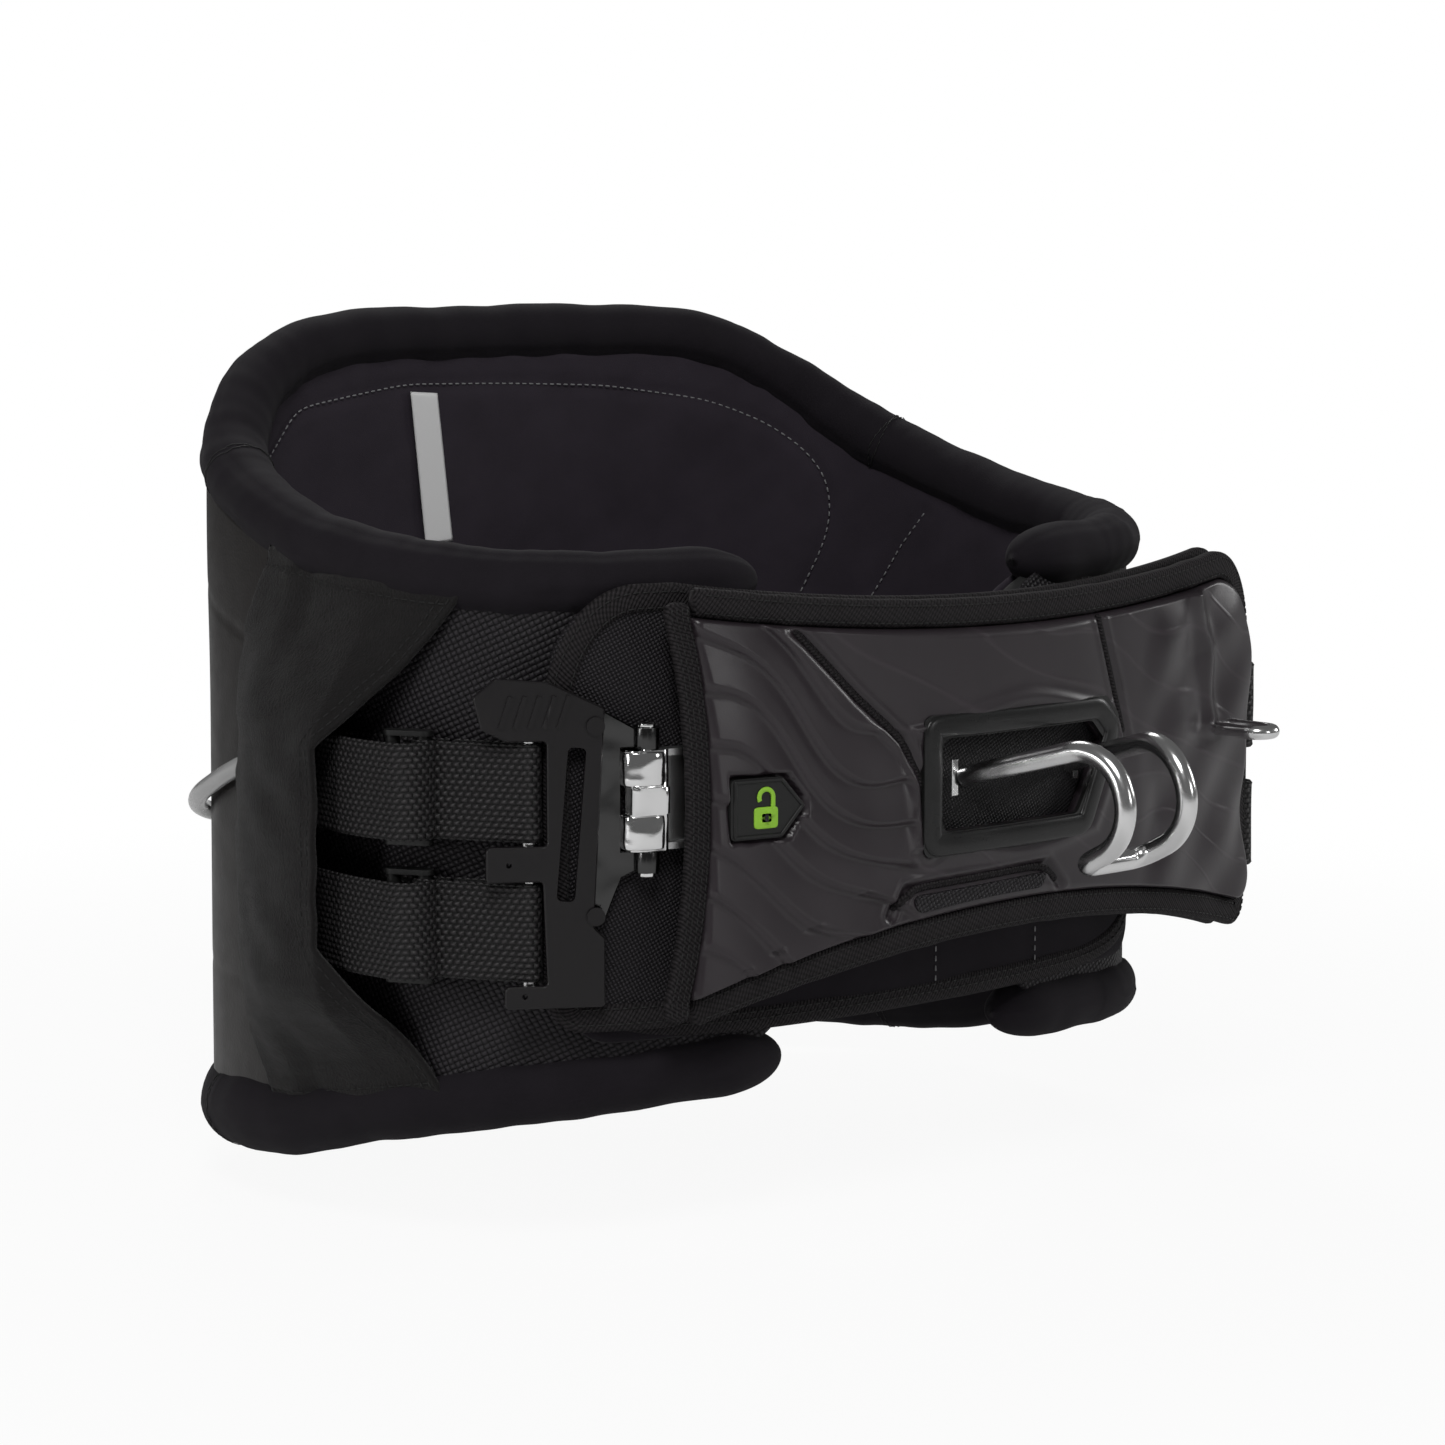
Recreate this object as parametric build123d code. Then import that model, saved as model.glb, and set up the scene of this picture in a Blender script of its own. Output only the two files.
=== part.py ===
from build123d import *
from math import acos, asin, atan2, cos, degrees, hypot, radians, sin, tan
import os

os.makedirs("parts", exist_ok=True)

# Waist harness with a quick-release spreader bar and hook.
# Frame: origin in the middle of the waist ring, +Z up, the hook faces -Y, +X is the wearer's left.
# All sizes are millimetres. "Ring angle" is the outward direction on the belt, 0 at the front
# (-Y), 90 at +X, 180 at the back and 270 at -X.

# ---------------------------------------------------------------- belt: driving sizes
BELT_HALF_WIDTH = 180.0
BELT_HALF_DEPTH = 124.0
FRONT_RADIUS = 480.0
SIDE_RADIUS = 210.0
CORNER_RADIUS = 80.0

TOP_FRONT = 33.0
TOP_FORWARD_SIDE = 35.0
TOP_SIDE = 44.0
TOP_REAR_SIDE = 70.0
TOP_BACK = 116.5
BOTTOM_FRONT = -148.0
BOTTOM_FORWARD_SIDE = -154.0
BOTTOM_SIDE = -170.0
BOTTOM_REAR_SIDE = -180.0
BOTTOM_REAR_CORNER = -176.0
BOTTOM_BACK = -204.0
TAIL_HALF_WIDTH = 98.0

TOP_ROLL_RADIUS = 12.3
BOTTOM_ROLL_RADIUS = 12.8
TOP_ROLL_GAP_HALF = 66.0
BOTTOM_ROLL_GAP_HALF = 55.0
WALL_GAP_HALF = 50.0

LINER_THICK = 2.7
FOAM_INNER = -4.0
FOAM_FRONT_OUTER = 5.0
FOAM_BACK_OUTER = 8.0
WING_THICK = 1.7
SHELL_THICK = 2.7
SKIN_GAP = 0.3
SEAT = 0.3
ROLL_SEAT = 0.9
SHELL_FRONT_ANGLE = 88.0

LUMBAR_THICK = 2.2
LUMBAR_HALF_ANGLE = 8.0
LUMBAR_TOP = 70.0
LUMBAR_BOTTOM = -140.0

CLOSURE_GAP = 0.6
CLOSURE_THICK = 3.4
CLOSURE_HALF_WIDTH = 142.0
CLOSURE_TOP = -20.0
CLOSURE_BOTTOM = -124.0
CLOSURE_CORNER = 14.0

# ---------------------------------------------------------------- spreader bar and pad: driving sizes
BAR_X = 38.4
BAR_Y = -155.0
BAR_TURN = 2.0
BAR_RADIUS = 600.0
PAD_HALF_LENGTH = 155.0
PAD_DEPTH = 16.0
FACE_THICK = 3.0
BACK_PANEL_THICK = 4.2
FACE_TOP_MIDDLE = 13.0
FACE_TOP_END = 24.0
FACE_BOTTOM_MIDDLE = -92.0
FACE_BOTTOM_END = -114.0
BINDING_WIDTH = 11.0
BINDING_SETBACK = 0.6
POCKET_WIDTH = 7.5
POCKET_WIDTH_LEFT = 5.0
MOUTH_SCOOP = 8.0
POCKET_RISE = 1.4
POCKET_BACK = 0.9
PAD_CORNER = 26.0
PAD_LOWER_CORNER = 9.0
TAIL_REACH = 46.0
TAIL_BEND_RADIUS = 97.0

WINDOW_HALF_WIDTH = 45.0
WINDOW_TOP = -27.0
WINDOW_BOTTOM = -62.0
WINDOW_CORNER = 4.0
WINDOW_CHAMFER = 17.0
BEZEL_WIDTH = 9.0
BEZEL_RISE = 2.0
BEZEL_SEAT = 0.1

PATCH_X = -123.0
PATCH_Z = -46.0
PATCH_LENGTH = 30.0
PATCH_HEIGHT = 22.0
PATCH_POINT = 9.0
PATCH_STAND = 1.6
PATCH_GAP = 0.3
PATCH_CORNER = 2.0
PATCH_FLANGE = 0.5
PATCH_FLANGE_REACH = 1.2

STRIP_THICK = 3.0
STRIP_HEIGHT = 36.0
STRIP_Z = -41.0
LIP_DEPTH = 3.4
LIP_THICK = 2.4

HOOK_ROD = 8.0
HOOK_Z = -43.0
HOOK_FOOT_HALF = 29.0
HOOK_LEG_HALF = 17.0
HOOK_STRAIGHT = 46.0
HOOK_TILT = 16.0
HOOK_BEND_RADIUS = 19.8
HOOK_TURN = 168.0
HOOK_RETURN = 12.5
HOOK_END_RADIUS = 8.0
FOOT_PLATE = (13.0, 4.0, 15.0)
FOOT_BEVEL = 0.8

LEASH_WIRE = 5.6
LEASH_X = 134.0
LEASH_Z = -39.0
LEASH_HALF_WIDTH = 9.0
LEASH_REACH = 36.0
LEASH_WELD = 2.0

# ---------------------------------------------------------------- buckle: driving sizes
HINGE_ARC = -168.0
HINGE_SETBACK = 7.6
HINGE_PIN_RADIUS = 2.4
PIN_FIT = 0.05
CLASP_HALF_LENGTH = 7.6
CLASP_THICK = 8.4
CLASP_BAND_RISE = 1.3
CLASP_BAND_HEIGHT = 9.5
KNUCKLE_RADIUS = 4.6
KNUCKLE_HEIGHT = 7.5
KNUCKLE_GAP = 0.4
BUCKLE_TURN = 33.0
PLATE_THICK = 3.0
PLATE_NEAR_REACH = 15.2
PLATE_TAB_REACH = 62.0
PLATE_ARM_REACH = 57.5
PLATE_FOOT_REACH = 51.0
PLATE_FOOT_HEIGHT = 8.0
PLATE_CROWN = 21.0
PLATE_SHOULDER = 11.5
PLATE_TAB_DROP = 4.5
PLATE_STEP = 4.0
PLATE_STEP_Z = -90.0
PLATE_CORNER = 1.6
PLATE_EYE_RADIUS = 1.0
TAB_RIBS = 5
TAB_RIB_PITCH = 5.2
TAB_RIB_SIZE = (1.8, 1.2, 12.0)
TAB_RIB_LEAN = 18.0
PLATE_BEVEL = 0.5
SPARE_SLOT_REACH = 27.2
SPARE_SLOT_LEAN = -4.5
SPARE_SLOT_WIDTH = 6.6
SPARE_SLOT_LENGTH = 55.0
BRACKET_THICK = 2.5
RIVET_RADIUS = 2.2
RIVET_HEAD = 1.0
RIVET_REACH = 18.6
RIVET_HEIGHTS = (-14.0, -82.0)
PIN_HEAD = 1.4
CLASP_WEB = 1.4
BRACKET_LAP = 6.0
BRACKET_GAP = 1.4
WEBBING_WIDTH = 35.0
WEBBING_THICK = 1.8
WEBBING_GAP = 0.3
WEBBING_Z_RIGHT = {"upper": -38.0, "lower": -88.0}
WEBBING_Z_LEFT = {"upper": -34.0, "lower": -83.0}
NOTCH_GAP = 1.2
NOTCH_REACH = 35.8
WEB_PIN_RADIUS = 2.6
WEB_PIN_REACH = 41.5
WEB_PIN_SETBACK = 3.4
WEB_PIN_OVERHANG = 3.0

END_FRAME_START = 150.0
TUNNEL_GAP = 1.0
END_RAIL_ARC = 166.0
END_FRAME_THICK = 3.0
END_RIVET_ARC = 154.0
END_RIVET_HEIGHTS = (-32.0, -50.0)
END_FRAME_TOP = -5.0
END_FRAME_BOTTOM = -111.0
END_FRAME_SLOT = 6.4
END_FRAME_RAIL = 4.6

ADJUSTER_X_RIGHT = 181.5
ADJUSTER_X_LEFT = 196.5
ADJUSTER_Y = -72.5
ADJUSTER_ROD = WEB_PIN_RADIUS
ADJUSTER_HALF_HEIGHT = 20.6
ADJUSTER_LENGTH = 12.0
ADJUSTER_THICK = 4.4
ANCHOR_Y = -14.0

FLAP_THICK = 2.4
FLAP_FRONT_Y = -45.0
FLAP_BACK_Y = 32.0
FLAP_STAND = 28.5
FLAP_CREST_Y = -5.0
FLAP_ROD_EXIT = 26.0
FLAP_TOP = 20.0
FLAP_MOUTH_TOP = -22.0
FLAP_MOUTH_BOTTOM = -106.0
FLAP_BOTTOM = -143.0
FLAP_TIP_Y = -78.0
FLAP_LOW_TIP_Y = -70.0
FLAP_REAR_Y = -6.0

ROD_RADIUS = 3.6
ROD_CLEAR = 0.6
ROD_PIVOT_Y = 6.0
ROD_PIVOT_Z = -32.0
ROD_DROOP = 20.5
ROD_EYE_RADIUS = 6.5
ROD_EYE_HALF = 4.4
ROD_PIN_RADIUS = 2.0
ROD_PIN_HEAD = 1.2

TALL = 600.0
WIDE_ARC = 25.0
RIM_STEPS = 24


# ---------------------------------------------------------------- ring geometry
def corner_centre():
    """Centre of the front corner arc at +X: it touches the front arc and the side arc from inside."""
    front = (0.0, FRONT_RADIUS - BELT_HALF_DEPTH)
    side = (BELT_HALF_WIDTH - SIDE_RADIUS, 0.0)
    to_front = FRONT_RADIUS - CORNER_RADIUS
    to_side = SIDE_RADIUS - CORNER_RADIUS
    span = hypot(side[0] - front[0], side[1] - front[1])
    along = (to_front**2 - to_side**2 + span**2) / (2 * span)
    across = (to_front**2 - along**2) ** 0.5
    ux = (side[0] - front[0]) / span
    uy = (side[1] - front[1]) / span
    return front[0] + along * ux - across * uy, front[1] + along * uy + across * ux


CORNER_X, CORNER_Y = corner_centre()
FRONT_ANGLE = degrees(atan2(CORNER_X, FRONT_RADIUS - BELT_HALF_DEPTH - CORNER_Y))
SIDE_ANGLE = degrees(atan2(CORNER_X - BELT_HALF_WIDTH + SIDE_RADIUS, -CORNER_Y))
ARC_ENDS = [
    0.0,
    FRONT_ANGLE,
    SIDE_ANGLE,
    180.0 - SIDE_ANGLE,
    180.0 - FRONT_ANGLE,
    180.0 + FRONT_ANGLE,
    180.0 + SIDE_ANGLE,
    360.0 - SIDE_ANGLE,
    360.0 - FRONT_ANGLE,
    360.0,
]


def ring_arc(angle):
    """Centre and radius of the ring's arc that faces this ring angle."""
    half = 1 if angle <= 180 else -1
    turn = angle if angle <= 180 else 360 - angle
    if turn <= FRONT_ANGLE:
        return 0.0, FRONT_RADIUS - BELT_HALF_DEPTH, FRONT_RADIUS
    if turn <= SIDE_ANGLE:
        return half * CORNER_X, CORNER_Y, CORNER_RADIUS
    if turn <= 180 - SIDE_ANGLE:
        return half * (BELT_HALF_WIDTH - SIDE_RADIUS), 0.0, SIDE_RADIUS
    if turn <= 180 - FRONT_ANGLE:
        return half * CORNER_X, -CORNER_Y, CORNER_RADIUS
    return 0.0, BELT_HALF_DEPTH - FRONT_RADIUS, FRONT_RADIUS


def ring_point(angle, offset):
    """Plan point of the ring at a ring angle, moved outwards by the offset."""
    x, y, radius = ring_arc(angle)
    return x + (radius + offset) * sin(radians(angle)), y - (radius + offset) * cos(radians(angle))


def front_angle(half_gap):
    """Ring angle of the point of the front arc that lies half a gap from the middle."""
    return degrees(asin(half_gap / FRONT_RADIUS))


def ring_spans(start, end):
    """Pairs of ring angles, one for each arc of the ring between start and end."""
    stops = [start] + [a for a in ARC_ENDS if start + 0.5 < a < end - 0.5] + [end]
    return list(zip(stops[:-1], stops[1:]))


def ring_wall(start, end, inner, outer, bottom=-TALL / 2, top=TALL / 2):
    """Upright wall that follows the ring between two ring angles and two offsets."""
    edges = []
    for offset in (inner, outer):
        for a, b in ring_spans(start, end):
            middle = (a + b) / 2
            # the arc's own middle angle decides which arc it belongs to
            x, y, radius = ring_arc(middle)
            points = [
                (x + (radius + offset) * sin(radians(t)), y - (radius + offset) * cos(radians(t)))
                for t in (a, middle, b)
            ]
            edges.append(ThreePointArc(*points))
    for angle in (start, end):
        edges.append(Line(ring_point(angle, inner), ring_point(angle, outer)))
    return Pos(0, 0, bottom) * extrude(make_face(edges), amount=top - bottom)


# ---------------------------------------------------------------- height of the belt's two rims
TOP_KNOTS = [
    (-BELT_HALF_DEPTH, TOP_FRONT),
    (-0.62 * BELT_HALF_DEPTH, TOP_FORWARD_SIDE),
    (0.0, TOP_SIDE),
    (0.62 * BELT_HALF_DEPTH, TOP_REAR_SIDE),
    (0.93 * BELT_HALF_DEPTH, TOP_BACK),
    (BELT_HALF_DEPTH, TOP_BACK),
]
BOTTOM_KNOTS = [
    (-BELT_HALF_DEPTH, BOTTOM_FRONT),
    (-0.62 * BELT_HALF_DEPTH, BOTTOM_FORWARD_SIDE),
    (0.0, BOTTOM_SIDE),
    (0.62 * BELT_HALF_DEPTH, BOTTOM_REAR_SIDE),
    (0.93 * BELT_HALF_DEPTH, BOTTOM_REAR_CORNER),
]


def height_at(knots, y):
    """Height of a rim at this y, straight between its knots and level past them."""
    if y <= knots[0][0]:
        return knots[0][1]
    for (y0, z0), (y1, z1) in zip(knots[:-1], knots[1:]):
        if y <= y1:
            return z0 + (z1 - z0) * (y - y0) / (y1 - y0)
    return knots[-1][1]


def top_height(x, y):
    return height_at(TOP_KNOTS, y)


def bottom_height(x, y):
    """Height of the lower rim: the middle of the back dips between the two rear corners."""
    side = height_at(BOTTOM_KNOTS, y)
    if y < BOTTOM_KNOTS[-1][0] or abs(x) > TAIL_HALF_WIDTH:
        return side
    dip = 1 - (x / TAIL_HALF_WIDTH) ** 2
    return side + (BOTTOM_BACK - BOTTOM_REAR_CORNER) * dip


# ---------------------------------------------------------------- bent tubes
def bend_radii(points, share=0.47):
    """Largest even bend at each inner point: a share of the shorter run beside it."""
    radii = []
    for before, here, after in zip(points[:-2], points[1:-1], points[2:]):
        a = Vector(*here) - Vector(*before)
        b = Vector(*after) - Vector(*here)
        radii.append(share * min(a.length, b.length) / tan(radians(a.get_angle(b) / 2)))
    return radii


def bent_tube(points, radius, radii=None):
    """Round bar along straight runs joined by tangent arcs."""
    path = FilletPolyline(*points, radius=radii or bend_radii(points))
    section = Plane(origin=path @ 0, z_dir=path % 0) * Circle(radius)
    return sweep(section, path=path)


def ring_path(start, end, offset, height):
    """Corner points of a path round the ring: they stand just outside it, one or two to an arc."""
    plan = [ring_point(start, offset)]
    for a, b in ring_spans(start, end):
        pieces = 2 if b - a > WIDE_ARC else 1
        step = (b - a) / pieces
        x, y, radius = ring_arc((a + b) / 2)
        reach = (radius + offset) / cos(radians(step / 2))
        for k in range(pieces):
            middle = radians(a + (k + 0.5) * step)
            plan.append((x + reach * sin(middle), y - reach * cos(middle)))
    plan.append(ring_point(end, offset))
    return [(x, y, height(x, y)) for x, y in plan]


def rim_path(gap_half, height):
    start = front_angle(gap_half)
    return ring_path(start, 360 - start, 0.0, height)


TOP_PATH = rim_path(TOP_ROLL_GAP_HALF, top_height)
BOTTOM_PATH = rim_path(BOTTOM_ROLL_GAP_HALF, bottom_height)
TOP_LINE = FilletPolyline(*TOP_PATH, radius=bend_radii(TOP_PATH))
BOTTOM_LINE = FilletPolyline(*BOTTOM_PATH, radius=bend_radii(BOTTOM_PATH))


# ---------------------------------------------------------------- belt pieces
def mirror_x(shape):
    return mirror(shape, about=Plane.YZ)


def roll_drop(roll_radius, inner, outer):
    """Distance from a roll's centre line to the rim of a layer that ends just under the roll."""
    nearest = 0 if inner < 0 < outer else min(abs(inner), abs(outer))
    return ((roll_radius + ROLL_SEAT) ** 2 - nearest**2) ** 0.5


def under_roll(line, drop, side, outer):
    """Points of a layer's rim beside a rim line, from its front end to the middle of the back."""
    points = []
    for k in range(RIM_STEPS + 1):
        t = 0.5 * k / RIM_STEPS
        along = line % t
        square = (Vector(0, 0, 1) - along * along.Z).normalized()
        outward = Vector(along.Y, -along.X, 0).normalized()
        points.append((line @ t) + square * (side * drop) + outward * outer)
    return points


def belt_blank(inner, outer):
    """Room between the two rims for a layer, cut to end under the rolls."""
    reach = 2 * BELT_HALF_DEPTH
    top = under_roll(TOP_LINE, roll_drop(TOP_ROLL_RADIUS, inner, outer), -1, outer)
    low = under_roll(BOTTOM_LINE, roll_drop(BOTTOM_ROLL_RADIUS, inner, outer), 1, outer)
    rear = [p for p in low if p.Y > BOTTOM_KNOTS[-2][0]]
    side = [p for p in low if p.Y <= rear[0].Y]
    outline = [(-reach, top[0].Z)] + [(p.Y, p.Z) for p in top[:-1]]
    outline += [(reach, top[-1].Z), (reach, BOTTOM_BACK)]
    outline += [(rear[0].Y, BOTTOM_BACK)] + [(p.Y, p.Z) for p in side[::-1]] + [(-reach, low[0].Z)]
    blank = extrude(Plane.YZ * make_face(Polyline(*outline, close=True)), amount=TALL / 2, both=True)
    arch = [(p.X, p.Z) for p in rear] + [(-p.X, p.Z) for p in rear[-2::-1]]
    frame = [(TALL / 2, arch[0][1])] + arch + [(-TALL / 2, arch[0][1]), (-TALL / 2, -TALL), (TALL / 2, -TALL)]
    under = extrude(Plane.XZ * make_face(Polyline(*frame, close=True)), amount=-TALL / 2)
    return blank - (under & Pos(0, rear[0].Y + TALL / 2, 0) * Box(2 * TALL, TALL, 3 * TALL))


def belt_layer(start, end, inner, outer):
    return ring_wall(start, end, inner, outer) & belt_blank(inner, outer)


WALL_START = front_angle(WALL_GAP_HALF)
LINER_OUTER = FOAM_INNER - SKIN_GAP
LINER_INNER = LINER_OUTER - LINER_THICK
SHELL_INNER = FOAM_BACK_OUTER + SKIN_GAP
SHELL_OUTER = SHELL_INNER + SHELL_THICK
WING_INNER = FOAM_FRONT_OUTER + SKIN_GAP
WING_OUTER = WING_INNER + WING_THICK


def rod_pin_place(side):
    """Axis of the handle-pass rod's pivot on one side of the belt."""
    return Pos(side * BELT_HALF_WIDTH, ROD_PIVOT_Y, ROD_PIVOT_Z) * Rot(0, 90, 0)


ROD_X = BELT_HALF_WIDTH + SHELL_OUTER + ROD_CLEAR + ROD_EYE_HALF
ROD_PIN_HOLE = Part() + [
    rod_pin_place(s) * Cylinder(ROD_PIN_RADIUS + SEAT, 4 * SHELL_OUTER) for s in (-1, 1)
]


def make_lumbar_plate(grow=0.0):
    half = LUMBAR_HALF_ANGLE
    inner = FOAM_BACK_OUTER - LUMBAR_THICK
    return ring_wall(
        180 - half, 180 + half, inner - grow, FOAM_BACK_OUTER + (grow and SKIN_GAP),
        LUMBAR_BOTTOM - grow, LUMBAR_TOP + grow,
    )


def make_foam_core():
    front = belt_layer(WALL_START, 360 - WALL_START, FOAM_INNER, FOAM_FRONT_OUTER)
    rear_start = SHELL_FRONT_ANGLE
    rear = belt_layer(rear_start, 360 - rear_start, FOAM_INNER, FOAM_BACK_OUTER)
    pocket = make_lumbar_plate(grow=SKIN_GAP)
    return front + rear - pocket - ROD_PIN_HOLE


def make_liner():
    return belt_layer(WALL_START, 360 - WALL_START, LINER_INNER, LINER_OUTER)


def make_shell():
    start = SHELL_FRONT_ANGLE
    return belt_layer(start, 360 - start, SHELL_INNER, SHELL_OUTER) - ROD_PIN_HOLE


def make_wing():
    """Mesh-covered front wing at +X, between the belt's open end and the back shell."""
    end = SHELL_FRONT_ANGLE - 0.4
    return belt_layer(WALL_START, end, WING_INNER, WING_OUTER)


def make_closure():
    """Neoprene band outside the two wings, which closes the belt behind the spreader bar."""
    inner = WING_OUTER + CLOSURE_GAP
    reach = 60.0
    band = ring_wall(0, reach, inner, inner + CLOSURE_THICK)
    band += mirror_x(band)
    height = CLOSURE_TOP - CLOSURE_BOTTOM
    corners = RectangleRounded(2 * CLOSURE_HALF_WIDTH, height, CLOSURE_CORNER)
    outline = Pos(0, (CLOSURE_TOP + CLOSURE_BOTTOM) / 2) * corners
    block = extrude(Plane.XZ * outline, amount=TALL / 2)
    return band & block


def make_flap():
    """Folded side wing at +X: sewn down at its rim, with a mouth in front that stands over the straps."""
    seat = SHELL_OUTER + SEAT
    back_x = BELT_HALF_WIDTH - SIDE_RADIUS + ((SIDE_RADIUS + seat) ** 2 - FLAP_BACK_Y**2) ** 0.5
    tip_x = CORNER_X + ((CORNER_RADIUS + WING_OUTER + SEAT) ** 2 - (FLAP_TIP_Y - CORNER_Y) ** 2) ** 0.5
    front_x = BELT_HALF_WIDTH + FLAP_STAND
    mouth = (front_x, FLAP_FRONT_Y)
    bulge = ThreePointArc((back_x, FLAP_BACK_Y), (front_x, FLAP_CREST_Y), mouth)
    inner = [bulge, Line(mouth, (tip_x, FLAP_TIP_Y))]
    outer = [Pos(FLAP_THICK, 0) * edge for edge in inner]
    ends = [Line(inner[0] @ 0, outer[0] @ 0), Line(inner[1] @ 1, outer[1] @ 1)]
    sheet = Pos(0, 0, FLAP_BOTTOM) * extrude(make_face(inner + outer + ends), amount=FLAP_TOP - FLAP_BOTTOM)
    middle = (FLAP_TOP + FLAP_BOTTOM) / 2
    rear = ThreePointArc((FLAP_REAR_Y, FLAP_TOP), (FLAP_BACK_Y, middle), (FLAP_REAR_Y, FLAP_BOTTOM))
    rim = Polyline(
        (FLAP_REAR_Y, FLAP_TOP),
        (FLAP_TIP_Y, FLAP_TOP),
        (FLAP_FRONT_Y, FLAP_MOUTH_TOP),
        (FLAP_FRONT_Y, FLAP_MOUTH_BOTTOM),
        (FLAP_LOW_TIP_Y, FLAP_BOTTOM),
        (FLAP_REAR_Y, FLAP_BOTTOM),
    )
    sheet &= extrude(Plane.YZ * make_face([rear] + rim.edges()), amount=TALL / 2)
    exit_y = ROD_PIVOT_Y + ROD_EYE_RADIUS + FLAP_ROD_EXIT / 2
    return sheet - Pos(ROD_X, exit_y, ROD_PIVOT_Z - 2) * Box(FLAP_ROD_EXIT * 2, FLAP_ROD_EXIT, FLAP_ROD_EXIT)


# ---------------------------------------------------------------- handle-pass rod
def make_handle_rod():
    """Tube that hangs round the back of the belt, with an eye at each end."""
    reach = SHELL_OUTER + ROD_CLEAR + ROD_EYE_HALF
    start = degrees(acos(-ROD_PIVOT_Y / (SIDE_RADIUS + reach)))

    def droop(x, y):
        return ROD_PIVOT_Z - tan(radians(ROD_DROOP)) * (y - ROD_PIVOT_Y)

    points = ring_path(start, 360 - start, reach, droop)
    rod = bent_tube(points, ROD_RADIUS)
    for end in (points[0], points[-1]):
        place = Pos(*end) * Rot(0, 90, 0)
        rod += place * Cylinder(ROD_EYE_RADIUS, 2 * ROD_EYE_HALF)
        rod -= place * Cylinder(ROD_PIN_RADIUS + PIN_FIT, 4 * ROD_EYE_HALF)
    return rod


def make_rod_pivot():
    """Pivot pin at +X: it stands in the shell and its head holds the rod's eye."""
    inner = BELT_HALF_WIDTH + FOAM_FRONT_OUTER
    outer = ROD_X + ROD_EYE_HALF + SEAT
    place = Pos(0, ROD_PIVOT_Y, ROD_PIVOT_Z) * Rot(0, 90, 0)
    shank = Pos((inner + outer) / 2, 0, 0) * place * Cylinder(ROD_PIN_RADIUS, outer - inner)
    head = Pos(outer + ROD_PIN_HEAD / 2, 0, 0) * place * Cylinder(2 * ROD_PIN_RADIUS, ROD_PIN_HEAD)
    return shank + head


# ---------------------------------------------------------------- spreader bar frame
BAR = Pos(BAR_X, BAR_Y, 0) * Rot(0, 0, BAR_TURN)


def arc_wall(centre, near_radius, far_radius, start, end, bottom, top):
    """Upright wall between two radii about one centre; angles are measured from the front."""
    edges = []

    def place(radius, angle):
        return centre[0] + radius * sin(angle), centre[1] - radius * cos(angle)

    for radius in (near_radius, far_radius):
        edges.append(ThreePointArc(*[place(radius, a) for a in (start, (start + end) / 2, end)]))
    for angle in (start, end):
        edges.append(Line(place(near_radius, angle), place(far_radius, angle)))
    return Pos(0, 0, bottom) * extrude(make_face(edges), amount=top - bottom)


def bar_plan(arc, depth):
    """Plan point in the bar's frame: length along the pad's face, and depth behind that face."""
    angle = arc / BAR_RADIUS
    radius = BAR_RADIUS - depth
    return radius * sin(angle), BAR_RADIUS - radius * cos(angle)


def bar_place(arc, depth, z=0.0):
    """Place in the bar's frame that faces outwards at this arc length and depth."""
    x, y = bar_plan(arc, depth)
    return Pos(x, y, z) * Rot(0, 0, degrees(arc / BAR_RADIUS))


def bar_wall(start, end, near, far, bottom=-TALL / 4, top=TALL / 4):
    """Upright wall curved like the bar, from arc start to end, between two depths."""
    near_radius = BAR_RADIUS - near
    far_radius = BAR_RADIUS - far
    angles = (start / BAR_RADIUS, end / BAR_RADIUS)
    return arc_wall((0, BAR_RADIUS), near_radius, far_radius, *angles, bottom, top)


def front_block(outline):
    """An outline in the X-Z plane, carried through the pad's whole depth."""
    return extrude(Plane.XZ * outline, amount=TALL / 4, both=True)


def side_corner(face, x, upper):
    """The upper or lower corner of an outline on its straight side at this x."""
    ends = face.vertices().filter_by(lambda v: abs(v.X - x) < 0.01).sort_by(Axis.Y)
    return ends[-1] if upper else ends[0]


def pad_outline(grow=0.0, left=0.0, right=0.0):
    """Front view of the pad, waisted in the middle; left and right reach past its length."""
    half = PAD_HALF_LENGTH
    top_end = FACE_TOP_END + grow
    low_end = FACE_BOTTOM_END - grow
    edges = [
        ThreePointArc((-half, top_end), (0, FACE_TOP_MIDDLE + grow), (half + right, top_end)),
        ThreePointArc((-half, low_end), (0, FACE_BOTTOM_MIDDLE - grow), (half + right, low_end)),
        Line((-half - left, top_end), (-half - left, low_end)),
        Line((half + right, top_end), (half + right, low_end)),
    ]
    if left > 0:
        edges += [Line((-half, z), (-half - left, z)) for z in (top_end, low_end)]
    face = make_face(edges)
    for x in (-half - left, half + right):
        face = fillet(side_corner(face, x, upper=False), PAD_LOWER_CORNER)
        face = fillet(side_corner(face, x, upper=True), PAD_CORNER)
    return face


MOUTH_MIDDLE = (FACE_TOP_END + FACE_BOTTOM_END) / 2
MOUTH_RADIUS = ((FACE_TOP_END - MOUTH_MIDDLE) ** 2 + MOUTH_SCOOP**2) / (2 * MOUTH_SCOOP)


def mouth_circle(inset=0.0):
    """Circle that hollows the left end of the pad's face, where the bar leaves its tunnel."""
    return Pos(MOUTH_SCOOP - PAD_HALF_LENGTH - MOUTH_RADIUS, MOUTH_MIDDLE) * Circle(MOUTH_RADIUS - inset)


def face_outline():
    return pad_outline() - mouth_circle()


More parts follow.
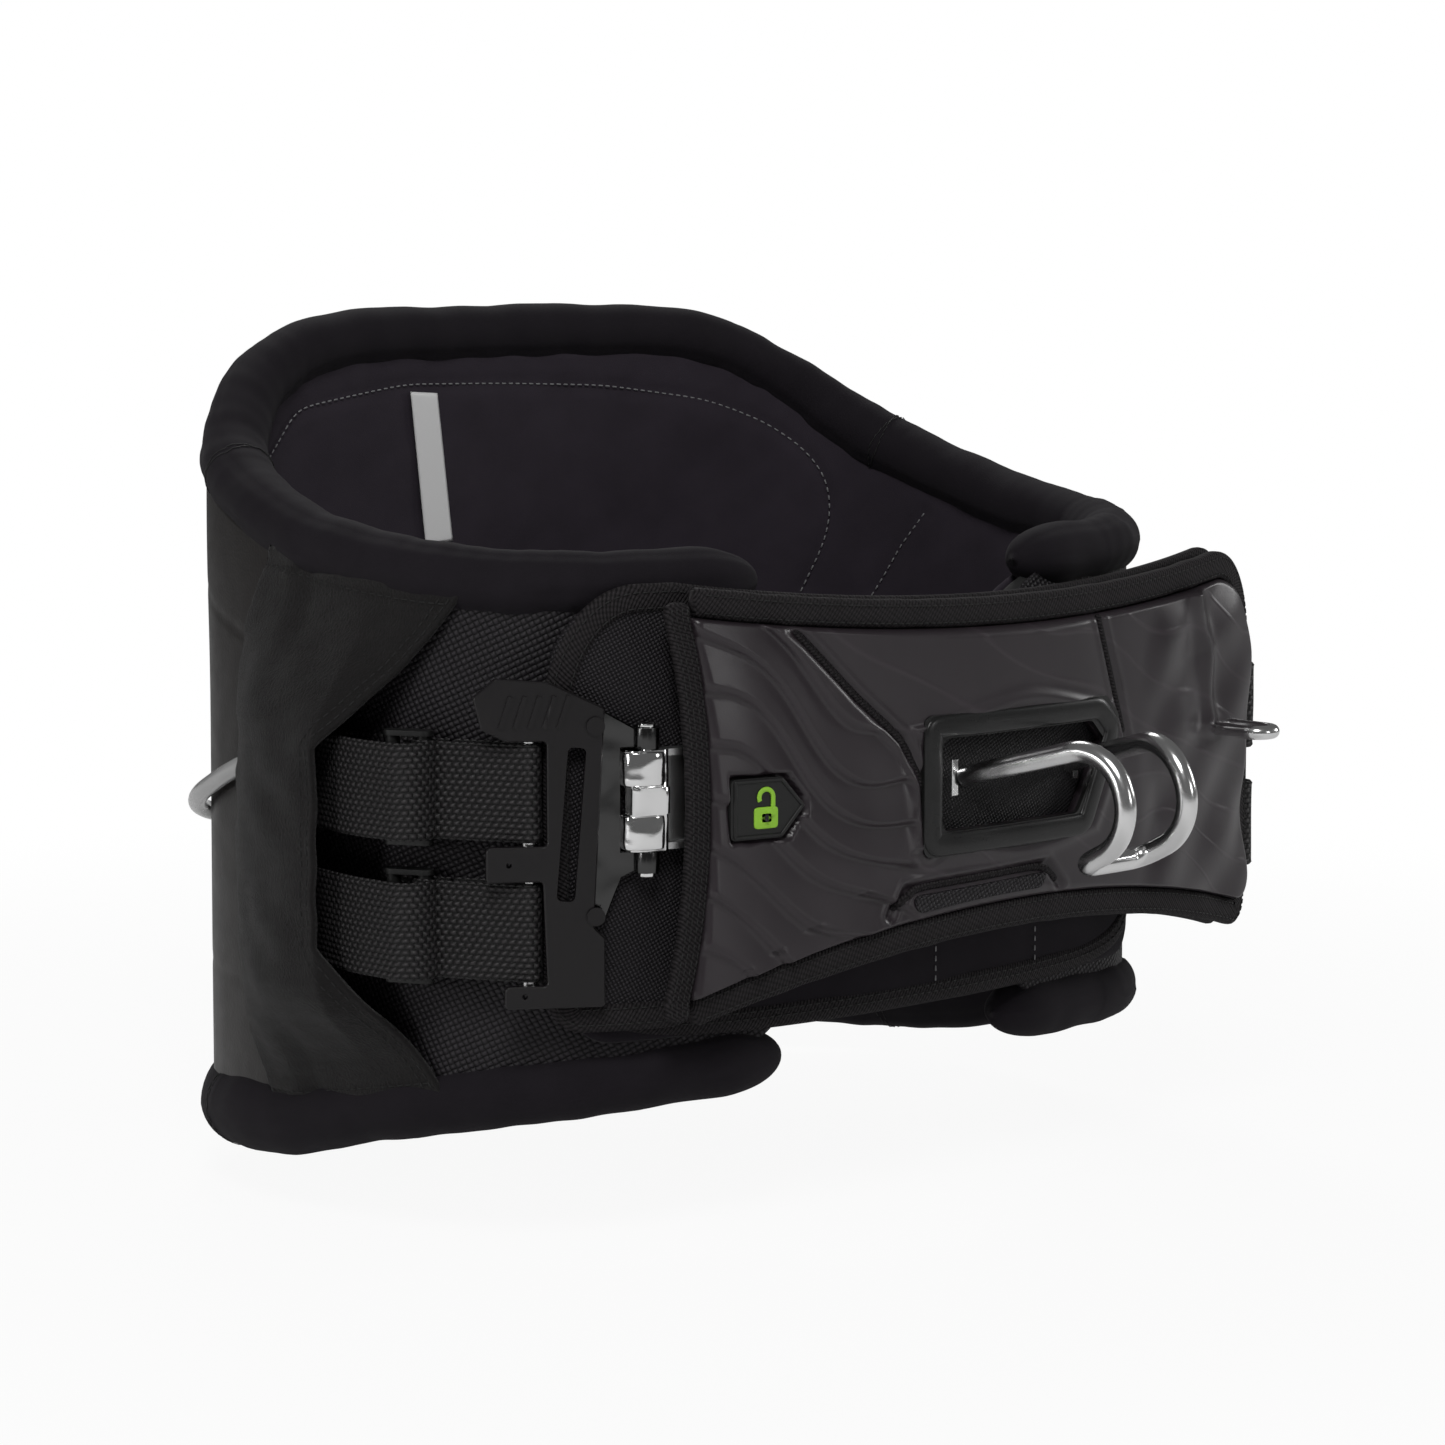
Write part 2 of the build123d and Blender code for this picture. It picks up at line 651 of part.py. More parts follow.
def window_outline(grow=0.0):
    """Window for the hook: square at one end and slanted at the other."""
    w = WINDOW_HALF_WIDTH + grow
    top = WINDOW_TOP + grow
    low = WINDOW_BOTTOM - grow
    c = WINDOW_CHAMFER
    points = ((-w, top), (w - c / 2, top), (w, top - c / 2), (w - c, low), (-w, low))
    face = make_face(Polyline(*points, close=True))
    return fillet(face.vertices(), WINDOW_CORNER)


def patch_outline(grow=0.0):
    """Five-sided button that points towards the hook."""
    half = PATCH_LENGTH / 2 + grow
    tall = PATCH_HEIGHT / 2 + grow
    shoulder = half - PATCH_POINT
    points = ((-half, tall), (shoulder, tall), (half, 0), (shoulder, -tall), (-half, -tall))
    face = make_face(Polyline(*points, close=True))
    return Pos(PATCH_X, PATCH_Z) * fillet(face.vertices(), PATCH_CORNER)


PANEL_NEAR = PAD_DEPTH - BACK_PANEL_THICK
STRIP_FAR = PANEL_NEAR - SKIN_GAP
STRIP_NEAR = STRIP_FAR - STRIP_THICK
STRIP_TOP = STRIP_Z + STRIP_HEIGHT / 2
STRIP_BOTTOM = STRIP_Z - STRIP_HEIGHT / 2
TONGUE_END = HINGE_ARC + HINGE_PIN_RADIUS + CLASP_WEB
STRIP_END = END_RAIL_ARC - END_FRAME_RAIL
FOAM_END = END_FRAME_START - TUNNEL_GAP


def make_face_panel():
    """Moulded outer panel of the pad, with the hook's window and the button's hole."""
    panel = bar_wall(-PAD_HALF_LENGTH, PAD_HALF_LENGTH, 0, FACE_THICK) & front_block(face_outline())
    panel -= front_block(window_outline())
    panel -= front_block(patch_outline(PATCH_GAP))
    return panel - leash_loop(LEASH_WIRE / 2 + SEAT)


def make_bezel():
    """Raised rim round the window."""
    rim = window_outline(BEZEL_WIDTH) - window_outline()
    reach = WINDOW_HALF_WIDTH + 2 * BEZEL_WIDTH
    return bar_wall(-reach, reach, -BEZEL_RISE, -BEZEL_SEAT) & front_block(rim)


def make_back_panel():
    """Nylon back of the pad: it runs on past the face at the buckle end, and bends to the belt."""
    half = PAD_HALF_LENGTH
    main = bar_wall(-half, half + POCKET_WIDTH_LEFT, PANEL_NEAR, PAD_DEPTH)
    start = -half / BAR_RADIUS
    inner = BAR_RADIUS - PAD_DEPTH
    centre = (
        (inner - TAIL_BEND_RADIUS) * sin(start),
        BAR_RADIUS - (inner - TAIL_BEND_RADIUS) * cos(start),
    )
    end = start - TAIL_REACH / TAIL_BEND_RADIUS
    outer = TAIL_BEND_RADIUS + BACK_PANEL_THICK
    tail = arc_wall(centre, outer, TAIL_BEND_RADIUS, end, start, -TALL / 4, TALL / 4)
    reach = -half - centre[0] - outer * sin(end)
    return main + tail & front_block(pad_outline(BINDING_WIDTH, left=reach, right=POCKET_WIDTH_LEFT))


def make_edge_binding(upper):
    """Bound edge of the pad above or below its face."""
    z = (FACE_TOP_MIDDLE, TALL / 4) if upper else (-TALL / 4, FACE_BOTTOM_MIDDLE)
    rim = pad_outline(BINDING_WIDTH) - pad_outline(SKIN_GAP)
    wall = bar_wall(-PAD_HALF_LENGTH + SKIN_GAP, FOAM_END, BINDING_SETBACK, PANEL_NEAR - SKIN_GAP, *z)
    return wall & front_block(rim)


def make_pocket_binding(side):
    """Thick bound mouth of the pad's pocket at one end of the face."""
    start = -PAD_HALF_LENGTH - POCKET_WIDTH if side < 0 else PAD_HALF_LENGTH + SKIN_GAP
    end = -PAD_HALF_LENGTH / 2 if side < 0 else PAD_HALF_LENGTH + POCKET_WIDTH_LEFT
    top = FACE_TOP_END + BINDING_WIDTH - PAD_CORNER * 0.6
    low = FACE_BOTTOM_END - BINDING_WIDTH + PAD_LOWER_CORNER
    band = bar_wall(start, end, -POCKET_RISE, FACE_THICK + POCKET_BACK, low, top)
    if side > 0:
        return band
    crescent = mouth_circle(SKIN_GAP) - mouth_circle(SKIN_GAP + POCKET_WIDTH)
    return band & front_block(crescent)


def make_pad_foam(upper):
    """Foam of the pad, above or below the tunnel of the spreader bar."""
    z = (STRIP_TOP + TUNNEL_GAP, TALL / 4) if upper else (-TALL / 4, STRIP_BOTTOM - TUNNEL_GAP)
    block = bar_wall(-PAD_HALF_LENGTH, FOAM_END, FACE_THICK + SKIN_GAP, STRIP_FAR, *z)
    return block & front_block(pad_outline(-SKIN_GAP) - mouth_circle())


def make_spreader_bar():
    """Stainless strip with folded lips, from the clasp to the rail of the left end frame."""
    bar = bar_wall(TONGUE_END, STRIP_END, STRIP_NEAR, STRIP_FAR, STRIP_BOTTOM, STRIP_TOP)
    lip_end = END_FRAME_START - SKIN_GAP
    for low, high in ((STRIP_TOP - LIP_THICK, STRIP_TOP), (STRIP_BOTTOM, STRIP_BOTTOM + LIP_THICK)):
        bar += bar_wall(TONGUE_END, lip_end, STRIP_NEAR - LIP_DEPTH, STRIP_NEAR, low, high)
    for z in END_RIVET_HEIGHTS:
        drill = Rot(90, 0, 0) * Cylinder(RIVET_RADIUS, 4 * STRIP_THICK)
        bar -= bar_place(END_RIVET_ARC, STRIP_NEAR, z) * drill
    return bar


def make_hook():
    """One rod bent to a hook, with a foot plate under each of its ends."""
    foot_length, foot_thick, foot_height = FOOT_PLATE
    base = STRIP_NEAR - foot_thick
    share = HOOK_BEND_RADIUS * tan(radians(HOOK_TURN / 4))
    turns = [radians(HOOK_TILT - k * HOOK_TURN / 2) for k in range(3)]
    runs = [HOOK_STRAIGHT + share, 2 * share, share + HOOK_RETURN]
    side = [(HOOK_FOOT_HALF, base, HOOK_Z)]
    for turn, run in zip(turns, runs):
        _, y, z = side[-1]
        side.append((HOOK_LEG_HALF, y - run * cos(turn), z + run * sin(turn)))
    points = [(-x, y, z) for x, y, z in side] + side[::-1]
    bends = [HOOK_BEND_RADIUS * 0.97] * 2 + [HOOK_END_RADIUS]
    hook = bent_tube(points, HOOK_ROD / 2, radii=bends + bends[::-1])
    for end in (-1, 1):
        x = end * HOOK_FOOT_HALF
        foot = Pos(x, base + foot_thick / 2, HOOK_Z) * Box(foot_length, foot_thick, foot_height)
        hook += chamfer(foot.faces().sort_by(Axis.Y)[0].edges(), FOOT_BEVEL)
    return hook


def leash_loop(wire):
    """Level D-shaped loop of wire that stands out of the pad's face."""
    w = LEASH_HALF_WIDTH - LEASH_WIRE / 2
    x, y = bar_plan(LEASH_X, STRIP_NEAR + LEASH_WELD)
    points = [(x - w, y, LEASH_Z), (x - w, y - LEASH_REACH, LEASH_Z)]
    points += [(2 * x - a, b, c) for a, b, c in points[::-1]]
    return bent_tube(points, wire, radii=[w * 0.96, w * 0.96])


def make_leash_ring():
    cut = bar_wall(LEASH_X - 30, LEASH_X + 30, STRIP_NEAR, STRIP_NEAR + 20)
    return leash_loop(LEASH_WIRE / 2) - cut


def make_patch():
    """Rubber button: its flange sits behind the face, and it can be pressed in."""
    half = PAD_HALF_LENGTH
    button = bar_wall(-half, 0, -PATCH_STAND, FACE_THICK + SKIN_GAP) & front_block(patch_outline())
    flange = bar_wall(-half, 0, FACE_THICK + SKIN_GAP, FACE_THICK + SKIN_GAP + PATCH_FLANGE)
    return button + (flange & front_block(patch_outline(PATCH_FLANGE_REACH)))


# ---------------------------------------------------------------- buckle
HINGE = bar_place(HINGE_ARC, HINGE_SETBACK)
BUCKLE = HINGE * Rot(0, 0, -BUCKLE_TURN - degrees(HINGE_ARC / BAR_RADIUS))


def upright(radius, bottom, top):
    return Pos(0, 0, (bottom + top) / 2) * Cylinder(radius, top - bottom)


def make_clasp():
    """Chromed clasp: it grips the tongue on one side and turns on the hinge pin on the other."""
    body = Pos(0, 0, STRIP_Z) * Box(2 * CLASP_HALF_LENGTH, CLASP_THICK, STRIP_HEIGHT)
    body = fillet(body.edges().filter_by(Axis.Z), CLASP_THICK * 0.3)
    band = Pos(0, -CLASP_BAND_RISE / 2, STRIP_Z) * Box(
        2 * CLASP_HALF_LENGTH, CLASP_THICK + CLASP_BAND_RISE, CLASP_BAND_HEIGHT
    )
    body += fillet(band.edges().filter_by(Axis.Z), CLASP_THICK * 0.3)
    body -= upright(HINGE_PIN_RADIUS + PIN_FIT, STRIP_BOTTOM - 1, STRIP_TOP + 1)
    slot_near = STRIP_NEAR - LIP_DEPTH - PIN_FIT
    slot = bar_wall(TONGUE_END - PIN_FIT, 0, slot_near, STRIP_FAR + 5, STRIP_BOTTOM - 1, STRIP_TOP + 1)
    return HINGE * body - slot


KNUCKLE_TOP = STRIP_TOP + KNUCKLE_GAP
KNUCKLE_LOW = STRIP_BOTTOM - KNUCKLE_GAP


def make_hinge_pin():
    pin = upright(HINGE_PIN_RADIUS, KNUCKLE_LOW - KNUCKLE_HEIGHT, KNUCKLE_TOP + KNUCKLE_HEIGHT)
    for z in (KNUCKLE_LOW - KNUCKLE_HEIGHT - PIN_HEAD / 2, KNUCKLE_TOP + KNUCKLE_HEIGHT + PIN_HEAD / 2):
        pin += Pos(0, 0, z) * Cylinder(HINGE_PIN_RADIUS * 1.35, PIN_HEAD)
    return BUCKLE * pin


def flat_plate(outline, front, back):
    """A sheet in the buckle's plane: outline points are (reach from the hinge, height)."""
    face = Plane.XZ * outline
    sheet = Pos(0, back, 0) * extrude(face, amount=back - front)
    return chamfer(sheet.faces().sort_by(Axis.Y)[0].outer_wire().edges(), PLATE_BEVEL)


def make_buckle_plate():
    """Black plate with a pull tab, a middle arm and a foot, which leave two notches between them."""
    upper = WEBBING_Z_RIGHT["upper"]
    lower = WEBBING_Z_RIGHT["lower"]
    half = WEBBING_WIDTH / 2 + NOTCH_GAP
    tab_root = upper + half
    foot_top = lower - half
    edge = -PLATE_NEAR_REACH
    points = [
        (edge, tab_root + PLATE_SHOULDER),
        (edge - 20, tab_root + PLATE_CROWN),
        (-PLATE_TAB_REACH + 8, tab_root + PLATE_CROWN + 1.5),
        (-PLATE_TAB_REACH, tab_root + PLATE_CROWN - 5),
        (-PLATE_TAB_REACH + 3, tab_root + PLATE_TAB_DROP),
        (-PLATE_TAB_REACH + 12, tab_root),
        (-NOTCH_REACH, tab_root),
        (-NOTCH_REACH, upper - half),
        (-PLATE_ARM_REACH, upper - half),
        (-PLATE_ARM_REACH, lower + half),
        (-NOTCH_REACH - 1.5, lower + half),
        (-NOTCH_REACH, foot_top),
        (-PLATE_FOOT_REACH, foot_top),
        (-PLATE_FOOT_REACH, foot_top - PLATE_FOOT_HEIGHT),
        (edge, foot_top - PLATE_FOOT_HEIGHT),
        (edge, PLATE_STEP_Z),
        (edge - PLATE_STEP, PLATE_STEP_Z + PLATE_STEP),
    ]
    outline = make_face(Polyline(*points, close=True))
    outline = fillet(outline.vertices(), PLATE_CORNER)
    slot = Pos(-SPARE_SLOT_REACH, STRIP_Z - 8) * Rot(0, 0, SPARE_SLOT_LEAN) * RectangleRounded(
        SPARE_SLOT_WIDTH, SPARE_SLOT_LENGTH, SPARE_SLOT_WIDTH * 0.3
    )
    outline -= slot
    for reach, z in ((PLATE_ARM_REACH - 8, (upper + lower) / 2), (PLATE_FOOT_REACH - 7, foot_top - 3.5)):
        outline -= Pos(-reach, z) * Circle(PLATE_EYE_RADIUS)
    plate = flat_plate(outline, -PLATE_THICK, 0)
    rib = Rot(0, TAB_RIB_LEAN, 0) * Box(*TAB_RIB_SIZE)
    for k in range(TAB_RIBS):
        reach = PLATE_TAB_REACH - PLATE_SHOULDER - k * TAB_RIB_PITCH
        plate += Pos(-reach, -PLATE_THICK, tab_root + PLATE_CROWN / 2) * rib
    for z in RIVET_HEIGHTS:
        plate -= Pos(-RIVET_REACH, 0, z) * Rot(90, 0, 0) * Cylinder(RIVET_RADIUS, 4 * PLATE_THICK)
    return BUCKLE * plate


def make_bracket():
    """Stainless bracket behind the plate's edge, with a knuckle above and below the clasp."""
    top = KNUCKLE_TOP
    low = KNUCKLE_LOW
    back = -PLATE_NEAR_REACH - BRACKET_LAP
    web = -CLASP_HALF_LENGTH - BRACKET_GAP
    outline = make_face(
        Polyline(
            (back, top + KNUCKLE_HEIGHT + 6),
            (-PLATE_NEAR_REACH, top + KNUCKLE_HEIGHT + 6),
            (-KNUCKLE_RADIUS, top + KNUCKLE_HEIGHT),
            (0, top + KNUCKLE_HEIGHT),
            (0, top),
            (web, top),
            (web, low),
            (0, low),
            (0, low - KNUCKLE_HEIGHT),
            (-KNUCKLE_RADIUS, low - KNUCKLE_HEIGHT),
            (web, low - KNUCKLE_HEIGHT - 2),
            (-PLATE_NEAR_REACH, low - KNUCKLE_HEIGHT - 18),
            (back, low - KNUCKLE_HEIGHT - 18),
            close=True,
        )
    )
    bracket = flat_plate(outline, 0, BRACKET_THICK)
    for bottom in (top, low - KNUCKLE_HEIGHT):
        bracket += upright(KNUCKLE_RADIUS, bottom, bottom + KNUCKLE_HEIGHT)
    bracket -= upright(HINGE_PIN_RADIUS + PIN_FIT, low - 2 * KNUCKLE_HEIGHT, top + 2 * KNUCKLE_HEIGHT)
    for z in RIVET_HEIGHTS:
        bracket -= Pos(-RIVET_REACH, 0, z) * Rot(90, 0, 0) * Cylinder(RIVET_RADIUS, 4 * PLATE_THICK)
    return BUCKLE * bracket


def rivet(length):
    """Rivet along Y with its head in front of y = 0, and its tail flush with the stack's back."""
    shank = Pos(0, length / 2, 0) * Rot(90, 0, 0) * Cylinder(RIVET_RADIUS - PIN_FIT, length)
    return shank + Pos(0, -RIVET_HEAD / 2, 0) * Rot(90, 0, 0) * Cylinder(RIVET_RADIUS * 1.5, RIVET_HEAD)


def make_bracket_rivets():
    stack = PLATE_THICK + BRACKET_THICK
    return [BUCKLE * Pos(-RIVET_REACH, -PLATE_THICK, z) * rivet(stack) for z in RIVET_HEIGHTS]


def make_end_frame():
    """Frame on the bar's left end: a plate on the strip and an outer rail for two webbing loops."""
    rail_end = END_RAIL_ARC + END_FRAME_RAIL / 2
    near = STRIP_NEAR - SKIN_GAP - END_FRAME_THICK
    plate = bar_wall(END_FRAME_START, rail_end, near, STRIP_NEAR - SKIN_GAP, END_FRAME_BOTTOM, END_FRAME_TOP)
    for z in WEBBING_Z_LEFT.values():
        half = WEBBING_WIDTH / 2 + NOTCH_GAP
        slot_end = rail_end - END_FRAME_RAIL
        plate -= bar_wall(slot_end - END_FRAME_SLOT, slot_end, near - 9, STRIP_NEAR + 9, z - half, z + half)
    for z in END_RIVET_HEIGHTS:
        drill = Rot(90, 0, 0) * Cylinder(RIVET_RADIUS, 4 * PLATE_THICK)
        plate -= bar_place(END_RIVET_ARC, STRIP_NEAR, z) * drill
    return plate


def make_end_rivets():
    near = STRIP_NEAR - SKIN_GAP - END_FRAME_THICK
    stack = END_FRAME_THICK + SKIN_GAP + STRIP_THICK
    return [bar_place(END_RIVET_ARC, near, z) * rivet(stack) for z in END_RIVET_HEIGHTS]


# ---------------------------------------------------------------- webbing, cross pins and adjusters
def plan_of(place, x, y):
    """World plan point of a point in a moved frame."""
    spot = (place * Pos(x, y, 0)).position
    return spot.X, spot.Y


RIGHT_PIN = plan_of(BAR * BUCKLE, -WEB_PIN_REACH, WEB_PIN_SETBACK)
RAIL_DEPTH = STRIP_NEAR - SKIN_GAP - END_FRAME_THICK / 2
LEFT_PIN = plan_of(BAR, *bar_plan(END_RAIL_ARC, RAIL_DEPTH))


def strap_frame(start, end):
    """Frame with its origin half way between two plan points and X along them, and their distance."""
    dx = end[0] - start[0]
    dy = end[1] - start[1]
    middle = ((start[0] + end[0]) / 2, (start[1] + end[1]) / 2)
    return Pos(*middle, 0) * Rot(0, 0, degrees(atan2(dy, dx))), hypot(dx, dy)


def strap_loop(start, end, z):
    """Loop of webbing round two upright rods."""
    place, run = strap_frame(start, end)
    inner = WEB_PIN_RADIUS + WEBBING_GAP
    outer = inner + WEBBING_THICK
    ring = SlotCenterToCenter(run, 2 * outer) - SlotCenterToCenter(run, 2 * inner)
    return place * Pos(0, 0, z - WEBBING_WIDTH / 2) * extrude(ring, amount=WEBBING_WIDTH)


def adjuster_rods(side):
    """Plan points of an adjuster's front and rear rods on one side: -1 is the buckle side."""
    pin = RIGHT_PIN if side < 0 else LEFT_PIN
    front = (-ADJUSTER_X_RIGHT if side < 0 else ADJUSTER_X_LEFT, ADJUSTER_Y)
    run = hypot(front[0] - pin[0], front[1] - pin[1])
    step = ADJUSTER_LENGTH / run
    rear = (front[0] + (front[0] - pin[0]) * step, front[1] + (front[1] - pin[1]) * step)
    return pin, front, rear


def make_adjuster(side, z):
    """Ladder-lock adjuster: two upright rods between an upper and a lower cheek."""
    _, front, rear = adjuster_rods(side)
    place, run = strap_frame(front, rear)
    frame = Part()
    for x in (-run / 2, run / 2):
        frame += Pos(x, 0, z) * Cylinder(ADJUSTER_ROD, 2 * ADJUSTER_HALF_HEIGHT)
    cheek = ADJUSTER_HALF_HEIGHT - WEBBING_WIDTH / 2 - NOTCH_GAP
    for up in (-1, 1):
        height = z + up * (ADJUSTER_HALF_HEIGHT - cheek / 2)
        cheek_plan = extrude(SlotCenterToCenter(run, ADJUSTER_THICK + 2), amount=cheek)
        frame += Pos(0, 0, height - cheek / 2) * cheek_plan
    return place * frame


def make_cross_pin(z):
    """Steel cross pin in the end of one webbing, hooked behind the buckle plate's arms."""
    length = WEBBING_WIDTH + 2 * WEB_PIN_OVERHANG
    return Pos(*RIGHT_PIN, z) * Cylinder(WEB_PIN_RADIUS, length)


def make_anchor_strap(side, z):
    """Short strap that ties an adjuster's rear rod to the belt under the side flap."""
    _, _, rear = adjuster_rods(side)
    outer = WEB_PIN_RADIUS + WEBBING_GAP + WEBBING_THICK
    seat = side * (BELT_HALF_WIDTH + WING_OUTER + SKIN_GAP + outer)
    return strap_loop(rear, (seat, ANCHOR_Y), z)


# ---------------------------------------------------------------- all sub-parts
nodes = {
    "foam_core": make_foam_core(),
    "inner_liner": make_liner(),
    "back_shell": make_shell(),
    "lumbar_plate": make_lumbar_plate(),
    "top_rim_roll": bent_tube(TOP_PATH, TOP_ROLL_RADIUS),
    "bottom_rim_roll": bent_tube(BOTTOM_PATH, BOTTOM_ROLL_RADIUS),
    "left_wing": make_wing(),
    "right_wing": mirror_x(make_wing()),
    "left_side_flap": make_flap(),
    "right_side_flap": mirror_x(make_flap()),
    "closure_belt": make_closure(),
    "handle_pass_rod": make_handle_rod(),
    "left_rod_pivot": make_rod_pivot(),
    "right_rod_pivot": mirror_x(make_rod_pivot()),
    "pad_face": BAR * make_face_panel(),
    "pad_back_panel": BAR * make_back_panel(),
    "pad_upper_foam": BAR * make_pad_foam(upper=True),
    "pad_lower_foam": BAR * make_pad_foam(upper=False),
    "upper_edge_binding": BAR * make_edge_binding(upper=True),
    "lower_edge_binding": BAR * make_edge_binding(upper=False),
    "right_pocket_binding": BAR * make_pocket_binding(-1),
    "left_pocket_binding": BAR * make_pocket_binding(1),
    "window_bezel": BAR * make_bezel(),
    "unlock_button": BAR * make_patch(),
    "spreader_bar": BAR * make_spreader_bar(),
    "hook": BAR * make_hook(),
    "leash_ring": BAR * make_leash_ring(),
    "clasp": BAR * make_clasp(),
    "hinge_pin": BAR * make_hinge_pin(),
    "buckle_plate": BAR * make_buckle_plate(),
    "buckle_bracket": BAR * make_bracket(),
    "bracket_rivets": Compound([BAR * r for r in make_bracket_rivets()]),
    "left_end_frame": BAR * make_end_frame(),
    "end_frame_rivets": Compound([BAR * r for r in make_end_rivets()]),
}
for side_name, side, heights in (("right", -1, WEBBING_Z_RIGHT), ("left", 1, WEBBING_Z_LEFT)):
    for level, z in heights.items():
        pin, front, _ = adjuster_rods(side)
        nodes[f"{side_name}_{level}_webbing"] = strap_loop(pin, front, z)
        nodes[f"{side_name}_{level}_adjuster"] = make_adjuster(side, z)
        nodes[f"{side_name}_{level}_anchor_strap"] = make_anchor_strap(side, z)
for level, z in WEBBING_Z_RIGHT.items():
    nodes[f"{level}_cross_pin"] = make_cross_pin(z)

for name, shape in nodes.items():
    export_step(shape, f"parts/{name}.step")
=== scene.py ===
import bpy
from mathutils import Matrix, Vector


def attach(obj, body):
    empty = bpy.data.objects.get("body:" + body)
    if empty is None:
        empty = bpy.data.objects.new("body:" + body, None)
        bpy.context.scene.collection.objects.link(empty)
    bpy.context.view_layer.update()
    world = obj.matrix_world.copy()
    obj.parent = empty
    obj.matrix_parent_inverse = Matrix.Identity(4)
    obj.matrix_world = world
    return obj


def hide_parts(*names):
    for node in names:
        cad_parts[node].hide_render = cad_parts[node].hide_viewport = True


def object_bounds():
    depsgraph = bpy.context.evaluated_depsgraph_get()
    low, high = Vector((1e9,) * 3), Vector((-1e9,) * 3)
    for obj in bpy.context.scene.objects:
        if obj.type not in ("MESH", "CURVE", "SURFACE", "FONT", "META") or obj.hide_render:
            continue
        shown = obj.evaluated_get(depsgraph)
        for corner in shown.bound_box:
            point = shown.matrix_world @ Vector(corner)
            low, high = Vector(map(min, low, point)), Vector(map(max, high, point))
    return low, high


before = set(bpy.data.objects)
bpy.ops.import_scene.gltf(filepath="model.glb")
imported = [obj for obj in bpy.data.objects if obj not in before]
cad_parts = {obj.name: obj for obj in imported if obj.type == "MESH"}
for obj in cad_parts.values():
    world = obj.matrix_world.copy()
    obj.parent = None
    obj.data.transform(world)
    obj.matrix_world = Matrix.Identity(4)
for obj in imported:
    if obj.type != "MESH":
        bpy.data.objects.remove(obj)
CAD_BOUNDS = [[float(v) for v in corner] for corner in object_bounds()]

import math

import bpy
import numpy as np
from bpy.props import FloatProperty, FloatVectorProperty, PointerProperty
from mathutils import Vector

bl_info = {
    "name": "Waist Harness Maker",
    "version": (1, 0, 0),
    "blender": (4, 5, 0),
    "location": "3D View > Sidebar > Harness",
    "description": "Builds the sewn and padded pieces of a waist harness round its metal frame",
    "category": "Add Mesh",
}

MM = 0.001

# ---------------------------------------------------------------- sizes in millimetres
# Ring of the belt: half sizes, radii of its front, side and corner arcs, and heights of its rims.
HALF_WIDTH = 180.0
HALF_DEPTH = 124.0
FRONT_RADIUS = 480.0
SIDE_RADIUS = 210.0
CORNER_RADIUS = 80.0
KNOTS_Y = (-124.0, -76.9, 0.0, 76.9, 115.3, 130.0)
TOP_KNOTS_Z = (33.0, 35.0, 44.0, 70.0, 116.5, 116.5)
LOW_KNOTS_Z = (-143.0, -151.0, -170.0, -180.0, -176.0, -176.0)
TAIL_FRONT = 100.0
TAIL_HALF = 98.0
TAIL_DIP = 18.0
WING_OUTER = 7.0
SHELL_OUTER = 11.0
SHELL_START = 88.0

# Pad in front: the place and turn of its middle, the radius it is bent to, and its edges.
BAR_X = 38.4
BAR_Y = -155.0
BAR_TURN = math.radians(2.0)
BAR_RADIUS = 600.0
PAD_HALF = 155.0
PAD_DEPTH = 16.0
PANEL_THICK = 4.2
FACE_THICK = 3.0
TOP_MIDDLE = 13.0
TOP_END = 24.0
LOW_MIDDLE = -92.0
LOW_END = -114.0
BINDING = 11.0
SCOOP = 8.0
TAIL_REACH = 46.0
TAIL_BEND = 97.0

# Window of the hook: half its width, its top, its low edge and its slant. Patch: middle of the button.
WINDOW = (45.0, -27.0, -62.0, 17.0)
PATCH = (-123.0, -46.0)

# Share of a corner's cut at its upper tip, lightness of the liner against the neoprene, and how dark the
# window's cloth is against the wing cloth: painted shade in the window's recess.
TOP_TIP = 0.85
LINER_LIGHT = 2.9
WINDOW_SHADE = 0.4


# ---------------------------------------------------------------- meshes from arrays
def put_mesh(name, points, faces, uv=None, fields=None, materials=()):
    """Adds a smooth object from points in millimetres and faces, turned so that its volume is positive."""
    points = np.asarray(points, dtype=float) * MM
    faces = [np.asarray(block, dtype=int) for block in faces if len(block)]
    volume = 0.0
    for block in faces:
        a = points[block[:, 0]]
        for k in range(1, block.shape[1] - 1):
            volume += np.einsum("ij,ij->i", a, np.cross(points[block[:, k]], points[block[:, k + 1]])).sum()
    if volume < 0:
        faces = [block[:, ::-1] for block in faces]
    sizes = np.concatenate([np.full(len(block), block.shape[1]) for block in faces])
    corners = np.concatenate([block.ravel() for block in faces])
    mesh = bpy.data.meshes.new(name)
    mesh.vertices.add(len(points))
    mesh.vertices.foreach_set("co", points.ravel())
    mesh.loops.add(len(corners))
    mesh.loops.foreach_set("vertex_index", corners)
    mesh.polygons.add(len(sizes))
    mesh.polygons.foreach_set("loop_start", np.concatenate([[0], np.cumsum(sizes)[:-1]]))
    mesh.polygons.foreach_set("loop_total", sizes)
    mesh.polygons.foreach_set("use_smooth", np.full(len(sizes), True))
    mesh.update(calc_edges=True)
    if uv is not None:
        layer = mesh.uv_layers.new(name="weave")
        layer.data.foreach_set("uv", (np.asarray(uv, dtype=float) * MM)[corners].ravel())
    for key, values in (fields or {}).items():
        field = mesh.attributes.new(key, "FLOAT", "POINT")
        field.data.foreach_set("value", np.asarray(values, dtype=float).ravel())
    mesh.validate()
    for material in materials:
        mesh.materials.append(material)
    made = bpy.data.objects.new(name, mesh)
    bpy.context.scene.collection.objects.link(made)
    return made


def grid_faces(ids):
    """Quads between the neighbours of a grid of vertex numbers."""
    return np.stack([ids[:-1, :-1], ids[1:, :-1], ids[1:, 1:], ids[:-1, 1:]], axis=-1).reshape(-1, 4)


